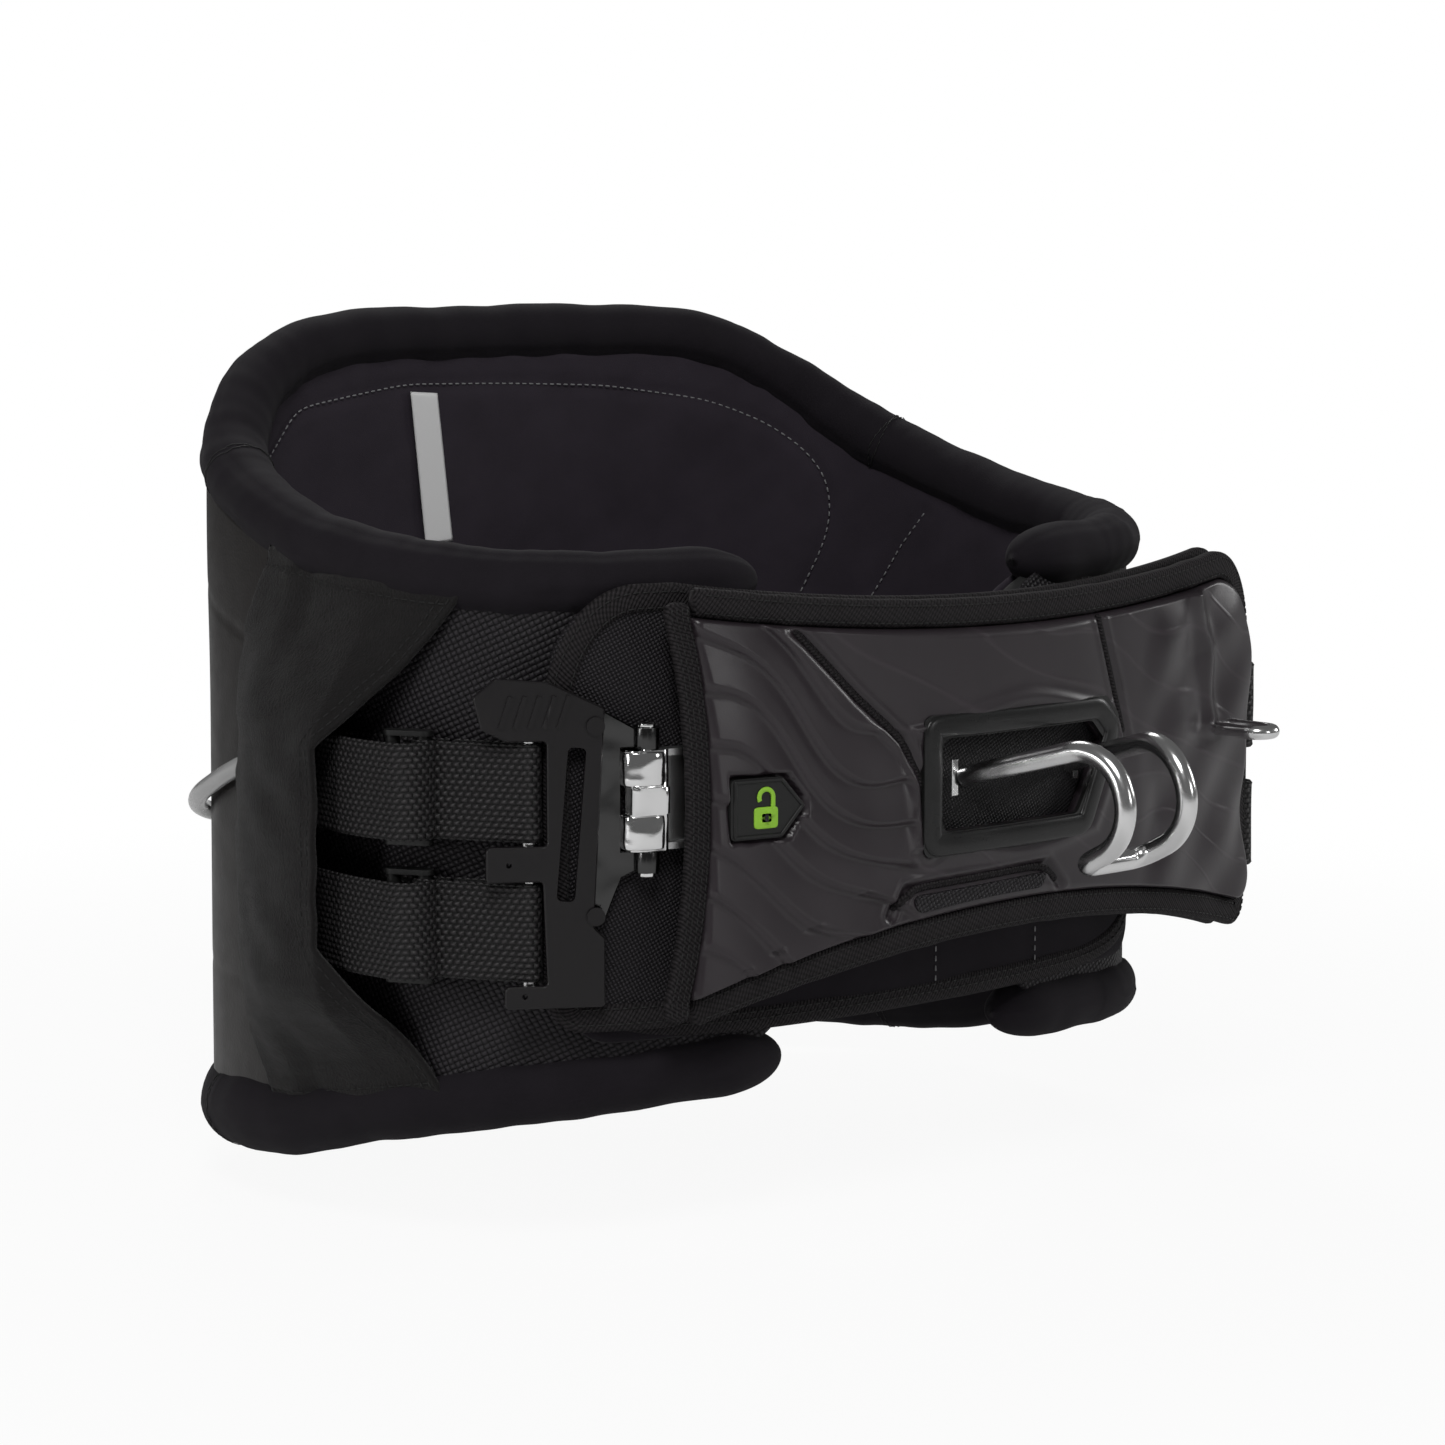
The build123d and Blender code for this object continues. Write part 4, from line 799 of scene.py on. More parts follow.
def rod_gloss(name, colour):
    """Glossy tube with painted shade along its side that faces up."""
    f = Finish(name, colour, 0.16, coat_weight=0.6, coat_roughness=0.08, specular_ior_level=0.6)
    facing = f.value("ShaderNodeNewGeometry", output="Normal")
    # Painted shade: where the normal faces up in the world, the colour is darkened to near black.
    painted_top_shade = f.parts(facing)[2].step(0.55, 0.8)
    f.feed("Base Color", f.blend(painted_top_shade, colour, (0.02, 0.02, 0.022)))
    f.feed("Roughness", f.noise(f.place(), 0.2, 2.0) * 0.08 + 0.12)
    return f.material


# ---------------------------------------------------------------- settings
class HarnessLook(bpy.types.PropertyGroup):
    """Colours of the harness."""

    neoprene: FloatVectorProperty(
        name="Neoprene", description="Liner, rolls and closing band", subtype="COLOR", size=3,
        min=0, max=1, default=(0.0125, 0.0102, 0.0136),
    )
    skin: FloatVectorProperty(
        name="Back skin", description="Coated cloth on the back of the belt", subtype="COLOR",
        size=3, min=0, max=1, default=(0.0092, 0.0068, 0.0062),
    )
    cloth: FloatVectorProperty(
        name="Wing cloth", description="Coarse woven nylon on the front wings", subtype="COLOR",
        size=3, min=0, max=1, default=(0.0118, 0.0102, 0.0122),
    )
    suede: FloatVectorProperty(
        name="Flap", description="Brushed cloth of the side flaps", subtype="COLOR", size=3, min=0,
        max=1, default=(0.0066, 0.0055, 0.0056),
    )
    face: FloatVectorProperty(
        name="Pad face", description="Satin moulded face of the pad", subtype="COLOR", size=3,
        min=0, max=1, default=(0.0270, 0.0205, 0.0250),
    )
    webbing: FloatVectorProperty(
        name="Webbing", description="Straps and tapes", subtype="COLOR", size=3, min=0, max=1,
        default=(0.0080, 0.0070, 0.0076),
    )
    symbol: FloatVectorProperty(
        name="Symbol", description="Padlock on the unlocking button", subtype="COLOR", size=3,
        min=0, max=1, default=(0.36, 0.72, 0.05),
    )
    thread: FloatVectorProperty(
        name="Liner thread", description="Pale thread of the liner's seams", subtype="COLOR",
        size=3, min=0, max=1, default=(0.30, 0.30, 0.31),
    )


class HarnessSizes(bpy.types.PropertyGroup):
    """Sizes of the sewn detail."""

    stitch: FloatProperty(
        name="Stitch pitch", description="Length of one stitch with its gap", default=3.6 * MM,
        min=0.002, max=0.01, unit="LENGTH",
    )
    wrinkle: FloatProperty(
        name="Wrinkle depth", description="Height of the soft folds in the padding",
        default=0.55 * MM, min=0, max=0.003, unit="LENGTH",
    )
    weave: FloatProperty(
        name="Weave pitch", description="Distance between the threads of the wing cloth",
        default=2.3 * MM, min=0.0008, max=0.006, unit="LENGTH",
    )
    strap: FloatProperty(
        name="Strap width", description="Width of the webbing", default=35 * MM, min=0.02, max=0.04,
        unit="LENGTH",
    )
    bulge: FloatProperty(
        name="Strap bulge", description="How far the short straps stand out over the adjusters",
        default=9.0 * MM, min=0, max=0.012, unit="LENGTH",
    )


FINISHES = {}


def finish(name):
    """Material of this name, made the first time it is asked for: its maker, its colour and its values."""
    if name in FINISHES:
        return FINISHES[name]
    look = bpy.context.scene.harness_look
    wide_weave = bpy.context.scene.harness_sizes.weave / MM
    makers = {
        "liner neoprene": (neoprene, [LINER_LIGHT * c for c in look.neoprene], 1),
        "roll neoprene": (neoprene, look.neoprene, 2),
        "band neoprene": (neoprene, look.neoprene, 3),
        "belt foam": (moulded, grey(0.02), 0.8, 0.2),
        "wing cloth": (mesh_cloth, look.cloth, wide_weave),
        "panel cloth": (mesh_cloth, look.cloth, 1.5),
        "vent cloth": (mesh_cloth, look.cloth, 1.8),
        # The window's weave is the wing cloth darkened, as painted shade inside the window.
        "window weave": (mesh_cloth, [WINDOW_SHADE * c for c in look.cloth], 1.5),
        "back skin": (leatherette, look.skin),
        "flap suede": (suede, look.suede),
        "pad face": (coated_panel, look.face),
        "webbing": (webbing_cloth, look.webbing),
        "tape": (tape_cloth, look.webbing),
        "pale thread": (thread, look.thread),
        "black thread": (thread, grey(0.02)),
        "symbol": (moulded, look.symbol, 0.45),
        "label": (moulded, grey(0.97), 0.6),
        "bright steel": (metal, grey(0.92), 0.2),
        "chrome": (metal, grey(0.92), 0.08, 0.0, (0.075, 2.4)),
        "stainless": (metal, grey(0.62), 0.26, 1.0),
        # The bracket is bright steel; its near-black colour is a painted dark reflection.
        "bracket steel": (metal, grey(0.085), 0.2, 0.0, (0.06, 1.2)),
        "black steel": (coated_metal, (0.0056, 0.0044, 0.0052)),
        "black plastic": (moulded, grey(0.014), 0.45),
        "button rubber": (moulded, grey(0.012), 0.5, 0.05),
        "bezel": (moulded, grey(0.012), 0.3, 0.04),
        "rod gloss": (rod_gloss, grey(0.42)),
    }
    maker, *values = makers[name]
    FINISHES[name] = maker(name, *values)
    return FINISHES[name]


def settle(piece, body="harness", nodes=(), fill=None):
    """The piece moves with a body and stands for CAD nodes; fill is not used."""
    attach(piece, body)
    if nodes:
        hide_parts(*nodes)
    return piece


def piece(name, solid, cloth, body="harness", nodes=(), fill=None, fields=None):
    """Adds a piece from its points and faces, with its own cloth lengths if they follow, and settles it."""
    points, faces, *uv = solid
    made = put_mesh(name, points, faces, *uv, fields=fields, materials=[finish(cloth)])
    return settle(made, body, nodes, fill)


def wrinkle():
    """Height of the soft folds, in millimetres."""
    return bpy.context.scene.harness_sizes.wrinkle / MM


def ring_at(points):
    """Length round the ring and height of points near the belt."""
    points = np.asarray(points, dtype=float)
    gap = np.hypot(RIM_X[None] - points[:, :1], RIM_Y[None] - points[:, 1:2])
    return np.stack([RIM_S[np.argmin(gap, axis=1)], points[:, 2]], axis=-1)


def line_gap(a, b, line):
    """Distance from points to a line of straight runs, in two lengths."""
    best = np.full(np.broadcast(a, b).shape, 1e9)
    for (x0, y0), (x1, y1) in zip(line[:-1], line[1:]):
        dx, dy = x1 - x0, y1 - y0
        t = np.clip(((a - x0) * dx + (b - y0) * dy) / (dx * dx + dy * dy), 0, 1)
        best = np.minimum(best, np.hypot(a - x0 - t * dx, b - y0 - t * dy))
    return best


def curved(line, count):
    """Smooth line past corner points: equal steps, then a running average over a quarter of a run."""
    line = np.asarray(line, dtype=float)
    fine = resample(line, count)
    spread = count / (4.0 * len(line))
    return np.stack([softened(fine[:, k], spread) for k in range(line.shape[1])], axis=-1)


# ---------------------------------------------------------------- belt
BELT_START = 50.0
BELT_SPAN = (BELT_START, 2 * HALF_RING - BELT_START)
SHELL_S = ring_length(SHELL_START)
TIP = 36.0
LINER_SEAM = (
    (-152, 83, 24), (-154, 81, 39), (-152, 83, 53), (-144, 91, 66), (-129, 101, 77), (-118, 105, 89),
    (-55, 116, 97), (-1, 120, 96), (51, 117, 94), (101, 109, 87), (129, 101, 77), (144, 91, 66),
    (152, 83, 53), (154, 81, 39), (152, 83, 24), (143, 92, -2),
)
LINER_SEAM_FRONT = ((172, 37, 39), (169, 50, 23), (166, 60, 7), (164, 66, -2))


def liner_lines():
    """The liner's seams, as length round the belt and height: one over the back, one on each side."""
    back = curved(ring_at(LINER_SEAM), 220)
    side = curved(ring_at(LINER_SEAM_FRONT), 120)
    far_side = np.stack([2 * HALF_RING - side[:, 0], side[:, 1]], axis=-1)
    return [back, side, far_side]


class HARNESS_OT_liner(bpy.types.Operator):
    """Inner liner: a soft layer whose seams are drawn in, with rows of pale stitches.

    Inner face: offset = -7 - swell, with swell = 1 + w (long ripple + half a short one) - 1.1
    exp(-(d/2.4)^2), where w is the wrinkle depth and d the distance to each seam.
    """

    bl_idname = "harness.liner"
    bl_label = "Inner liner"
    FACES = (-7.0, -4.3)
    SEAM_WIDE, SEAM_DEEP = 2.4, 1.1
    STITCH_LINE = -7.25

    def execute(self, context):
        lines = liner_lines()
        depth = wrinkle()

        def swell(s, z):
            groove = sum(np.exp(-((line_gap(s, z, line[::6]) / self.SEAM_WIDE) ** 2)) for line in lines)
            soft = 1.0 + depth * ripple(s, z, 3, 70) + 0.5 * depth * ripple(s, z, 8, 26)
            return soft - self.SEAM_DEEP * groove

        layer = ring_layer(BELT_SPAN, self.FACES, (420, 100), 5.0, 3.0, inward=swell, tips=(TIP, TIP))
        piece("liner_cloth", layer, "liner neoprene", nodes=["inner_liner"], fill=0.8)
        paths = [ring_points(line[:, 0], self.STITCH_LINE, line[:, 1]) for line in lines]
        inwards = [-ring_out(line[:, 0]) for line in lines]
        stitches("liner_stitches", paths, inwards, "pale thread", share=0.6, radius=0.42)
        return {"FINISHED"}


class HARNESS_OT_core(bpy.types.Operator):
    """Foam core of the belt: a thicker band behind than in front, with soft rims.

    Outer face: offset = 5 + 3 step(s), where the smooth step stands at the skin's two ends.
    """

    bl_idname = "harness.core"
    bl_label = "Belt foam"
    FACES = (-4.0, 5.0)
    BACK_STEP, STEP_RUN = 3.0, 6

    def execute(self, context):
        def swell(s, z):
            end = np.minimum(s, 2 * HALF_RING - s)
            return self.BACK_STEP * smooth_step(end, SHELL_S, SHELL_S + self.STEP_RUN)

        layer = ring_layer(BELT_SPAN, self.FACES, (260, 60), 4.0, 4.0, relief=swell, tips=(TIP, TIP))
        piece("belt_padding", layer, "belt foam", nodes=["foam_core"], fill=1.0)
        return {"FINISHED"}


class HARNESS_OT_wings(bpy.types.Operator):
    """Woven cloth on the two front wings, a little uneven over the padding.

    Outer face: offset = 7 + w (0.8 long ripple + 0.4 short ripple), with the wrinkle depth w.
    """

    bl_idname = "harness.wings"
    bl_label = "Wing cloth"
    INSIDE = 5.3

    def execute(self, context):
        depth = wrinkle()
        end = SHELL_S - 0.5

        def swell(s, z):
            return 0.8 * depth * ripple(s, z, 5, 60) + 0.4 * depth * ripple(s, z, 2, 24)

        far = 2 * HALF_RING
        for node, span, tips in (
            ("left_wing", (BELT_START, end), (TIP, 0)),
            ("right_wing", (far - end, far - BELT_START), (0, TIP)),
        ):
            layer = ring_layer(span, (self.INSIDE, WING_OUTER), (230, 120), 3.0, 1.6, relief=swell, tips=tips)
            piece(node + "_cloth", layer, "wing cloth", nodes=[node], fill=0.9)
        return {"FINISHED"}


class HARNESS_OT_shell(bpy.types.Operator):
    """Coated skin round the back: soft swells over the padding between two lengthwise seams.

    Outer face: offset = 11 + w (0.8 long ripple + 0.15 short ripple) - 0.25 exp(-(d/1.6)^2), with d
    the distance to a seam at a fixed share of the height.
    """

    bl_idname = "harness.shell"
    bl_label = "Back skin"
    INSIDE = 8.3
    SEAM_SHARES = (0.80, 0.22)
    SEAM_WIDE, SEAM_DEEP = 1.6, 0.25
    HEIGHT = 200

    def execute(self, context):
        depth = wrinkle()

        def swell(s, z):
            share = (z - rim_low(s)) / (rim_top(s) - rim_low(s))
            gaps = ((share - place) * self.HEIGHT for place in self.SEAM_SHARES)
            seam = sum(np.exp(-((gap / self.SEAM_WIDE) ** 2)) for gap in gaps)
            soft = 0.8 * depth * ripple(s, z, 7, 150) + 0.15 * depth * ripple(s, z, 4, 60)
            return soft - self.SEAM_DEEP * seam

        span = (SHELL_S, 2 * HALF_RING - SHELL_S)
        layer = ring_layer(span, (self.INSIDE, SHELL_OUTER), (380, 120), 3.0, 1.8, relief=swell)
        piece("back_skin", layer, "back skin", nodes=["back_shell"], fill=0.9)
        return {"FINISHED"}


ROLL_SEAMS = (-2.5, 1.05)
ROLL_SEAM_WIDE, ROLL_SEAM_DEEP = 1.1, 0.8
ROLL_FAT_FROM, ROLL_FAT_TO = (-40.0, 30.0), (70.0, 118.0)


def roll_surface(rim, gap, radius, seed, swell):
    """Padded roll along a rim: a round tube whose radius has soft folds, sewn grooves and round ends.

    radius(s, a) = (R fat(y) + folds - 0.8 exp(-(distance to a seam / 1.1)^2)) * rounded end, where the
    rings stand square to the rim's line and fat swells by a share over the belt's sides.
    """
    depth = wrinkle()
    s = np.linspace(gap, 2 * HALF_RING - gap, 900)
    a = np.linspace(0, 2 * math.pi, 44, endpoint=False)
    centre = ring_points(s, 0.0, rim(s))
    out = ring_out(s)
    _, tangent = along(centre)
    side = unit(out - tangent * np.einsum("ij,ij->i", out, tangent)[:, None])
    lift = np.cross(side, tangent)
    lift = lift * np.sign(lift[:, 2:])
    turn = np.abs(np.gradient(np.unwrap(np.arctan2(out[:, 1], out[:, 0])), s)) * 100
    folds = depth * ripple(s[:, None], a[None] * radius, seed, 46)
    folds = folds + 0.35 * depth * turn[:, None] * ripple(s[:, None], a[None] * 4, seed + 5, 13)
    seams = 0
    for place in ROLL_SEAMS:
        arc = np.abs((a - place + math.pi) % (2 * math.pi) - math.pi) * radius
        seams = seams + ROLL_SEAM_DEEP * np.exp(-((arc / ROLL_SEAM_WIDE) ** 2))
    y = centre[:, 1]
    fat = 1 + swell * smooth_step(y, *ROLL_FAT_FROM) * (1 - smooth_step(y, *ROLL_FAT_TO))
    ends = np.maximum(rounded(np.minimum(s - gap, s[-1] - s), radius * 2.2), 0.03)
    size = (radius * fat[:, None] + folds - seams[None]) * ends[:, None]
    across, up = (size * np.cos(a))[..., None], (size * np.sin(a))[..., None]
    return centre[:, None] + side[:, None] * across + lift[:, None] * up


class HARNESS_OT_rolls(bpy.types.Operator):
    """Padded rolls along the upper and the lower rim, each with two zigzag seams across it.

    A zigzag is one ring of the roll whose points step 1.9 mm forward and back by turns.
    """

    bl_idname = "harness.rolls"
    bl_label = "Rim rolls"
    ZIGZAG_SHARES = (0.285, 0.715)
    ZIGZAG_STEP = 1.9

    def execute(self, context):
        for name, *shape in (
            ("top_rim_roll", rim_top, 66.5, 12.3, 2, 0.06),
            ("bottom_rim_roll", rim_low, 55.5, 12.8, 9, 0.32),
        ):
            rings = roll_surface(*shape)
            piece(name + "_cloth", tube_grid(rings), "roll neoprene", nodes=[name], fill=0.95)
            middles = rings.mean(axis=1)
            paths = []
            ups = []
            for share in self.ZIGZAG_SHARES:
                k = int(share * len(rings))
                ahead = unit(middles[k + 1] - middles[k - 1])
                even = np.arange(rings.shape[1]) % 2 == 0
                step = np.where(even, self.ZIGZAG_STEP, -self.ZIGZAG_STEP)[:, None]
                paths.append(closed(rings[k] + step * ahead))
                ups.append(closed(unit(rings[k] - middles[k])))
            stitches(name + "_zigzag", paths, ups, "black thread", 3.9, 0.9, 0.3)
        return {"FINISHED"}


class HARNESS_OT_closure(bpy.types.Operator):
    """Neoprene band that closes the belt in front, with rows of stitches and a tape round its edge.

    Faces: offset = 9.3 +- 1.7 q, where q is the quarter round to the edge, and a ripple on the outside.
    The seams run round |a/A|^p + |b/B|^p = 1, almost a rectangle, each at its own inset.
    """

    bl_idname = "harness.closure"
    bl_label = "Closing band"
    HALF, TOP, LOW = 142.0, -20.0, -131.0
    MIDDLE, HALF_THICK = 9.3, 1.7
    STITCH_INSETS = (4.0, 6.6)
    SEAM_PLACES, SEAM_SPAN = (11.0, 68.0), (-94.0, -124.0)
    TAPE = (4.6, 2.6, 3.2)

    def execute(self, context):
        half, top, low, middle = self.HALF, self.TOP, self.LOW, self.MIDDLE
        s = spread(-half, half, 240, 90)
        cut = corner_cut(half - np.abs(s), 14.0)
        z = between(low + cut, top - cut, 90)
        plump = rounded(edge_gap(s, -half, half, z, low + cut, top - cut), 2.2)
        thick = self.HALF_THICK * plump
        swell = wrinkle() * ripple(s, z, 6, 50) * plump
        front = ring_points(s, middle + thick + swell, z)
        band = (*slab(front, ring_points(s, middle - thick, z)), cloth_uv(s, z))
        piece("closing_band", band, "band neoprene", nodes=["closure_belt"], fill=0.7)
        outlines = [self.outline(inset) for inset in self.STITCH_INSETS]
        paths = [ring_points(a, middle + 2.65, b) for a, b in outlines]
        stitches("closing_band_stitches", paths, [ring_out(a) for a, _ in outlines], "black thread")
        self.tape(*(v[:-1] for v in outlines[0]))
        z = np.linspace(*self.SEAM_SPAN, 12)
        places = [np.full(12, at) for at in self.SEAM_PLACES]
        paths = [ring_points(at, middle + 1.8, z) for at in places]
        stitches("closing_band_seams", paths, [ring_out(at) for at in places], "pale thread", None, 0.6, 0.4)
        return {"FINISHED"}

    def outline(self, inset):
        """Rounded outline inside the band's edge, as lengths and heights."""
        flat = cross_section(1199, self.HALF - inset, (self.TOP - self.LOW) / 2 - inset, 2 / 0.3)
        return closed(flat)[:, 0], closed(flat)[:, 1] + (self.TOP + self.LOW) / 2

    def tape(self, a, b):
        """Folded tape: a flat rounded section carried round the first outline."""
        section = cross_section(20, *self.TAPE)
        line = np.stack([a, b], axis=-1)
        ahead = unit(np.roll(line, -1, axis=0) - np.roll(line, 1, axis=0))
        grid = ring_points(
            a[:, None] + ahead[:, 1:] * section[None, :, 0],
            self.MIDDLE + section[None, :, 1],
            b[:, None] - ahead[:, :1] * section[None, :, 0],
        )
        body = (*ring_grid(grid), strip_uv(loop_length(line), section[:, 0]))
        piece("closing_band_tape", body, "tape")


# ---------------------------------------------------------------- side flaps
FLAP = {
    "stand": 28.5, "crest": -5.0, "seat": 32.0, "front": -45.0, "tip": -84.0, "low_tip": -76.0, "top": 36.0,
    "low": -160.0, "mouth_top": -25.0, "mouth_low": -97.0, "rear": 8.0, "belly": 24.0, "cloth_out": 8.6,
    "skin_step": 2.8,
}


def flap_plan(y):
    """Distance from the middle of the belt to the flap: a round hump behind, then straight to its tip."""
    seat_x = HALF_WIDTH - SIDE_RADIUS + np.sqrt((SIDE_RADIUS + SHELL_OUTER + 0.3) ** 2 - FLAP["seat"] ** 2)
    top_x = HALF_WIDTH + FLAP["stand"]
    middle = (FLAP["crest"] + FLAP["front"]) / 2
    reach = FLAP["seat"] - middle
    half = middle - FLAP["front"]
    bend = ((seat_x - top_x) ** 2 + reach**2 - half**2) / (2 * (seat_x - top_x))
    radius = math.hypot(bend, half)
    hump = top_x + bend + np.sqrt(np.maximum(radius**2 - (y - middle) ** 2, 0))
    tip_x = CORNER[0] + math.sqrt((CORNER_RADIUS + WING_OUTER + 0.3) ** 2 - (FLAP["tip"] - CORNER[1]) ** 2)
    straight = tip_x + (top_x - tip_x) * (y - FLAP["tip"]) / (FLAP["front"] - FLAP["tip"])
    return np.where(y > FLAP["front"], hump, straight)


def belt_side(y, offset):
    """Distance from the middle to the belt's outside at this depth, read off its ring."""
    points = ring_points(np.linspace(60.0, HALF_RING - 60.0, 500), offset, 0.0)
    return np.interp(y, points[:, 1], points[:, 0])


def flap_edges(z):
    """Front and rear edge of the flap at each height."""
    heights = (FLAP["low"], FLAP["mouth_low"], FLAP["mouth_top"], FLAP["top"])
    front = np.interp(z, heights, (FLAP["low_tip"], FLAP["front"], FLAP["front"], FLAP["tip"]))
    middle = (FLAP["top"] + FLAP["low"]) / 2
    half = FLAP["top"] - middle
    rear = FLAP["rear"] + FLAP["belly"] * (1 - ((z - middle) / half) ** 2)
    return front, rear


def flap_surface(t, z):
    """Distance from the middle and depth of the flap: t runs from its mouth to its sewn rear edge.

    x = belt + (hump - belt) w(z), where w falls from 1 behind the mouth to 0 towards the upper and the
    lower edge, and the belt's side is 8.6 mm out of its ring in front and 2.8 more over the skin.
    """
    front, rear = flap_edges(z)
    y = front + (rear - front) * t
    base = belt_side(y, FLAP["cloth_out"]) + FLAP["skin_step"] * smooth_step(y, -18.0, -4.0)
    full = np.maximum(flap_plan(y), base)
    w = smooth_step(z, FLAP["low"] + 8, -108.0) * (1 - smooth_step(z, -24.0, FLAP["top"] - 8))
    x = base + (full - base) * w
    return x, y


class HARNESS_OT_flaps(bpy.types.Operator):
    """Side flaps: sheets that stand up over the straps, sewn down above, below and behind.

    The middle sheet is the flap's surface plus ripples of three sizes that fade towards its sewn sides;
    the two faces lie 1.35 mm from it along its normal, and come together along the edge.
    """

    bl_idname = "harness.flaps"
    bl_label = "Side flaps"
    COLUMNS, ROWS = 120, 170
    HALF_THICK = 1.35
    STITCH_INSETS = (3.0, 6.2)

    def execute(self, context):
        t = spread(0, 1, self.COLUMNS, self.ROWS)
        z = between(FLAP["low"] + 0 * t, FLAP["top"], self.ROWS)
        middle = self.sheet(t, z)
        normal = grid_normals(middle)
        normal = normal * np.sign(normal[..., :1])
        z = middle[..., 2]
        front_y, rear_y = flap_edges(z)
        wide = (rear_y - front_y) * np.minimum(t, 1 - t)
        near = np.minimum(wide, np.minimum(z - FLAP["low"], FLAP["top"] - z))
        half = self.HALF_THICK * rounded(near, 1.6)[..., None]
        rim = 0.5 * np.exp(-((wide / 2.5) ** 2)) * (t < 0.5)
        front = middle + normal * (half + rim[..., None] * (half > 0))
        points, faces = slab(front, middle - normal * half)
        rows, ups = self.seams(front, normal, (rear_y - front_y)[0])
        for side, node in ((1, "left_side_flap"), (-1, "right_side_flap")):
            flip = np.array([side, 1, 1])
            piece(node + "_cloth", (points * flip, faces), "flap suede", nodes=[node], fill=0.5)
            mirrored = [[line * flip for line in lines] for lines in (rows, ups)]
            stitches(node + "_stitches", *mirrored, "black thread")
        return {"FINISHED"}

    def sheet(self, t, z):
        """Points of the middle sheet, whose upper and lower edges follow the belt's rims."""
        depth = wrinkle()
        x, y = flap_surface(t, z)
        share = (z - FLAP["low"]) / (FLAP["top"] - FLAP["low"])
        x = x + 1.6 * depth * ripple(y, z, 3, 44) * smooth_step(t, 0.0, 0.2)
        x = x + 1.1 * depth * ripple(y * 0.5, z, 9, 21) * smooth_step(np.minimum(share, 1 - share), 0.05, 0.2)
        x = x + 0.45 * depth * ripple(y * 0.5, z, 12, 9) * smooth_step(t, 0.0, 0.1)
        rim_s = ring_at(np.stack([x[::10, 0], y[::10, 0], z[::10, 0]], axis=-1))[:, 0]
        rim_s = np.interp(y, y[::10, 0], rim_s)
        rise = (rim_top(rim_s) - 1.5 - FLAP["top"]) * share**3
        rise = rise + (rim_low(rim_s) + 1.5 - FLAP["low"]) * (1 - share) ** 3
        return np.stack([x + 1.2, y, z + rise], axis=-1)

    def seams(self, front, normal, wide):
        """Two rows of stitches behind the mouth and one along each sewn side: lines and directions."""
        rows = []
        ups = []
        j = np.arange(self.ROWS)
        for inset in self.STITCH_INSETS:
            k = inset / wide * (self.COLUMNS - 1)
            low_k = np.floor(k).astype(int)
            part = (k - low_k)[:, None]
            line = front[low_k, j] * (1 - part) + front[low_k + 1, j] * part
            rows.append(line[4:-4])
            ups.append(normal[low_k, j][4:-4])
        for side in (6, self.ROWS - 7):
            rows.append(front[4:-4, side])
            ups.append(normal[4:-4, side])
        return rows, ups


# ---------------------------------------------------------------- pad
FACE_SEAMS = (
    ((-113, 18), (-107, 13), (-84, -9), (-63, -26), (-53, -43), (-50, -68)),
    ((41, 16), (60, -37)),
    ((-68, -91), (-61, -82), (12, -80), (20, -89)),
)
FACE_FOLD = ((104, 20), (116, -6), (120, -34))
FOLD_WIDE, FOLD_HIGH = 5.0, 3.2
TERRACE_RISE, TERRACE_DEEP = 19.0, 3.0


def outline_loop(x0, x1, radii, count, grow, inset=0.0):
    """Closed line round the pad's outline, in arc and height, with a radius at each corner.

    It is a rounded rectangle whose height is stretched to the pad's height at each arc.
    radii are for lower left, lower right, upper right and upper left.
    """
    tall = 100.0
    corner_steps, side_steps = 40, 1200
    x0, x1 = x0 + inset, x1 - inset
    runs = []
    corners = ((x0, 0, 180), (x1, 0, 270), (x1, tall, 0), (x0, tall, 90))
    for (x, y, start), radius in zip(corners, radii):
        r = max(radius - inset, 1.0)
        cx = x + r if x == x0 else x - r
        cy = y + r if y == 0 else y - r
        a = np.radians(start + np.linspace(0, 90, corner_steps))
        runs.append(np.stack([cx + r * np.cos(a), cy + r * np.sin(a)], axis=-1))
    loop = resample(closed(np.concatenate(runs)), side_steps)
    low = pad_low(loop[:, 0], grow - inset)
    top = pad_top(loop[:, 0], grow - inset)
    loop = np.stack([loop[:, 0], low + (top - low) * loop[:, 1] / tall], axis=-1)
    return resample(loop, count + 1)[:-1]


def face_loop(count):
    """Outline of the pad's face: rounded at its right end, hollowed by the pocket's mouth at its left."""
    loop = outline_loop(-PAD_HALF, PAD_HALF, (1, 9, 26, 1), 2400, 0.0)
    loop[:, 0] = np.where(loop[:, 0] < 0, np.maximum(loop[:, 0], mouth(loop[:, 1])), loop[:, 0])
    return resample(closed(loop), count + 1)[:-1]


def window_loop(grow=0.0):
    """Corner points of the hook's window: square at one end, slanted at the other."""
    half, top, low, cut = WINDOW
    w, top, low = half + grow, top + grow, low - grow
    slanted = [(w - cut, low), (w, top - cut / 2), (w - cut / 2, top)]
    return np.array([(-w, top), (-w, low)] + slanted, dtype=float)


def loop_reach(loop, angle, centre):
    """Distance from the centre to a loop in each direction."""
    d = loop - centre
    a = np.unwrap(np.arctan2(d[:, 1], d[:, 0]))
    if a[-1] < a[0]:
        a, d = a[::-1], d[::-1]
    reach = np.hypot(d[:, 0], d[:, 1])
    a3 = np.concatenate([a - 2 * math.pi, a, a + 2 * math.pi])
    return np.interp(angle, a3, np.tile(reach, 3))


def face_flow(arc, z):
    """Field whose whole steps are the terraces of the pad's face: a slope and a few broad hills."""
    steps = (z + 14 * np.tanh((arc + 112) / 22) + 0.35 * arc) / TERRACE_RISE
    return steps + 0.42 * ripple(arc, z, 4, 90) + 20


